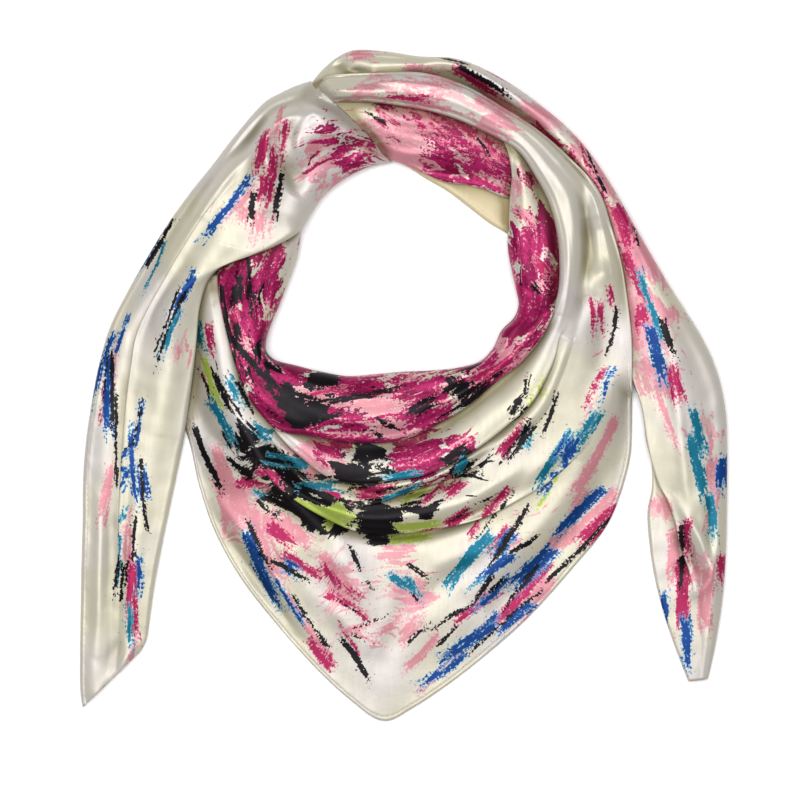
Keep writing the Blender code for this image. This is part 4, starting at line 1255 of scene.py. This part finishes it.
def build_scarf():
    printed = silk("printed_satin", CREAM, True, *RIGHT_SIDE_GLOSS)
    wrong = silk("satin_wrong_side", WRONG_SIDE, False, *WRONG_SIDE_GLOSS)
    thread = plain("hem_thread", THREAD, THREAD_ROUGH)
    for name, form in build_forms().items():
        stations, size = form["rings"].shape[:2]
        rings = form["rings"].reshape(-1, 3)
        ends = np.array([form["rings"][0].mean(axis=0), form["rings"][-1].mean(axis=0)])
        points = np.vstack([rings, ends])
        thing = add_mesh(name + "_silk", points, outward(points, ring_faces(stations, size)))
        paint(name, form, thing, points)
        thing.data.materials.append(wrong if name == "back_hem" else printed)
        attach(thing, "root")
        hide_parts(*STANDS_FOR.get(name, (name,)))
        sewn = []
        if name in HEM_SHOWS:
            sewn.append(stitches(name, form))
            sewn[0].data.materials.append(thread)
            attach(sewn[0], "root")


# ---------------------------------------------------------------- the studio
# Places and sizes are in metres, the lens and its sensor in millimetres
WORLD_COLOUR, WORLD_STRENGTH = (1.0, 0.955, 0.80), 0.19
SOFTBOX_PLACE, SOFTBOX_SIDES = (-0.12, 0.19, 1.75), (1.6, 1.35)
SOFTBOX_POWER, SOFTBOX_COLOUR = 41.0, (0.985, 0.97, 1.0)
FLOOR_HALF, FLOOR_LEVEL = 3.0, -0.0003
FLOOR_COLOUR, FLOOR_ROUGH = (0.97, 0.97, 0.97), 0.6
LENS, SENSOR = 135.0, 36.0
VIEW_WIDTH = 0.44  # width of what the camera sees at the cloth
CAMERA_X, CAMERA_Y, CLOTH_LEVEL = -0.0020, -0.0079, 0.008


def light_and_camera():
    scene = bpy.context.scene
    world = bpy.data.worlds.new("studio")
    scene.world = world
    world.use_nodes = True
    background = world.node_tree.nodes["Background"]
    background.inputs["Color"].default_value = (*WORLD_COLOUR, 1.0)
    background.inputs["Strength"].default_value = WORLD_STRENGTH

    light = bpy.data.lights.new("softbox", "AREA")
    light.shape = "RECTANGLE"
    light.size, light.size_y = SOFTBOX_SIDES
    light.energy, light.color = SOFTBOX_POWER, SOFTBOX_COLOUR
    lamp = add_object("softbox", light)
    lamp.location = SOFTBOX_PLACE
    lamp.rotation_euler = (-Vector(SOFTBOX_PLACE)).to_track_quat("-Z", "Y").to_euler()

    floor = bpy.data.meshes.new("floor")
    corners = [(FLOOR_HALF * x, FLOOR_HALF * y, 0) for x, y in ((-1, -1), (1, -1), (1, 1), (-1, 1))]
    floor.from_pydata(corners, [], [(0, 1, 2, 3)])
    floor.materials.append(plain("pale_floor", FLOOR_COLOUR, FLOOR_ROUGH))
    ground = add_object("floor", floor)
    ground.location.z = FLOOR_LEVEL

    lens = bpy.data.cameras.new("camera")
    lens.lens, lens.sensor_width = LENS, SENSOR
    scene.camera = camera = add_object("camera", lens)
    camera.location = (CAMERA_X, CAMERA_Y, CLOTH_LEVEL + VIEW_WIDTH * LENS / SENSOR)
    scene.view_settings.view_transform = "Standard"


light_and_camera()
build_scarf()
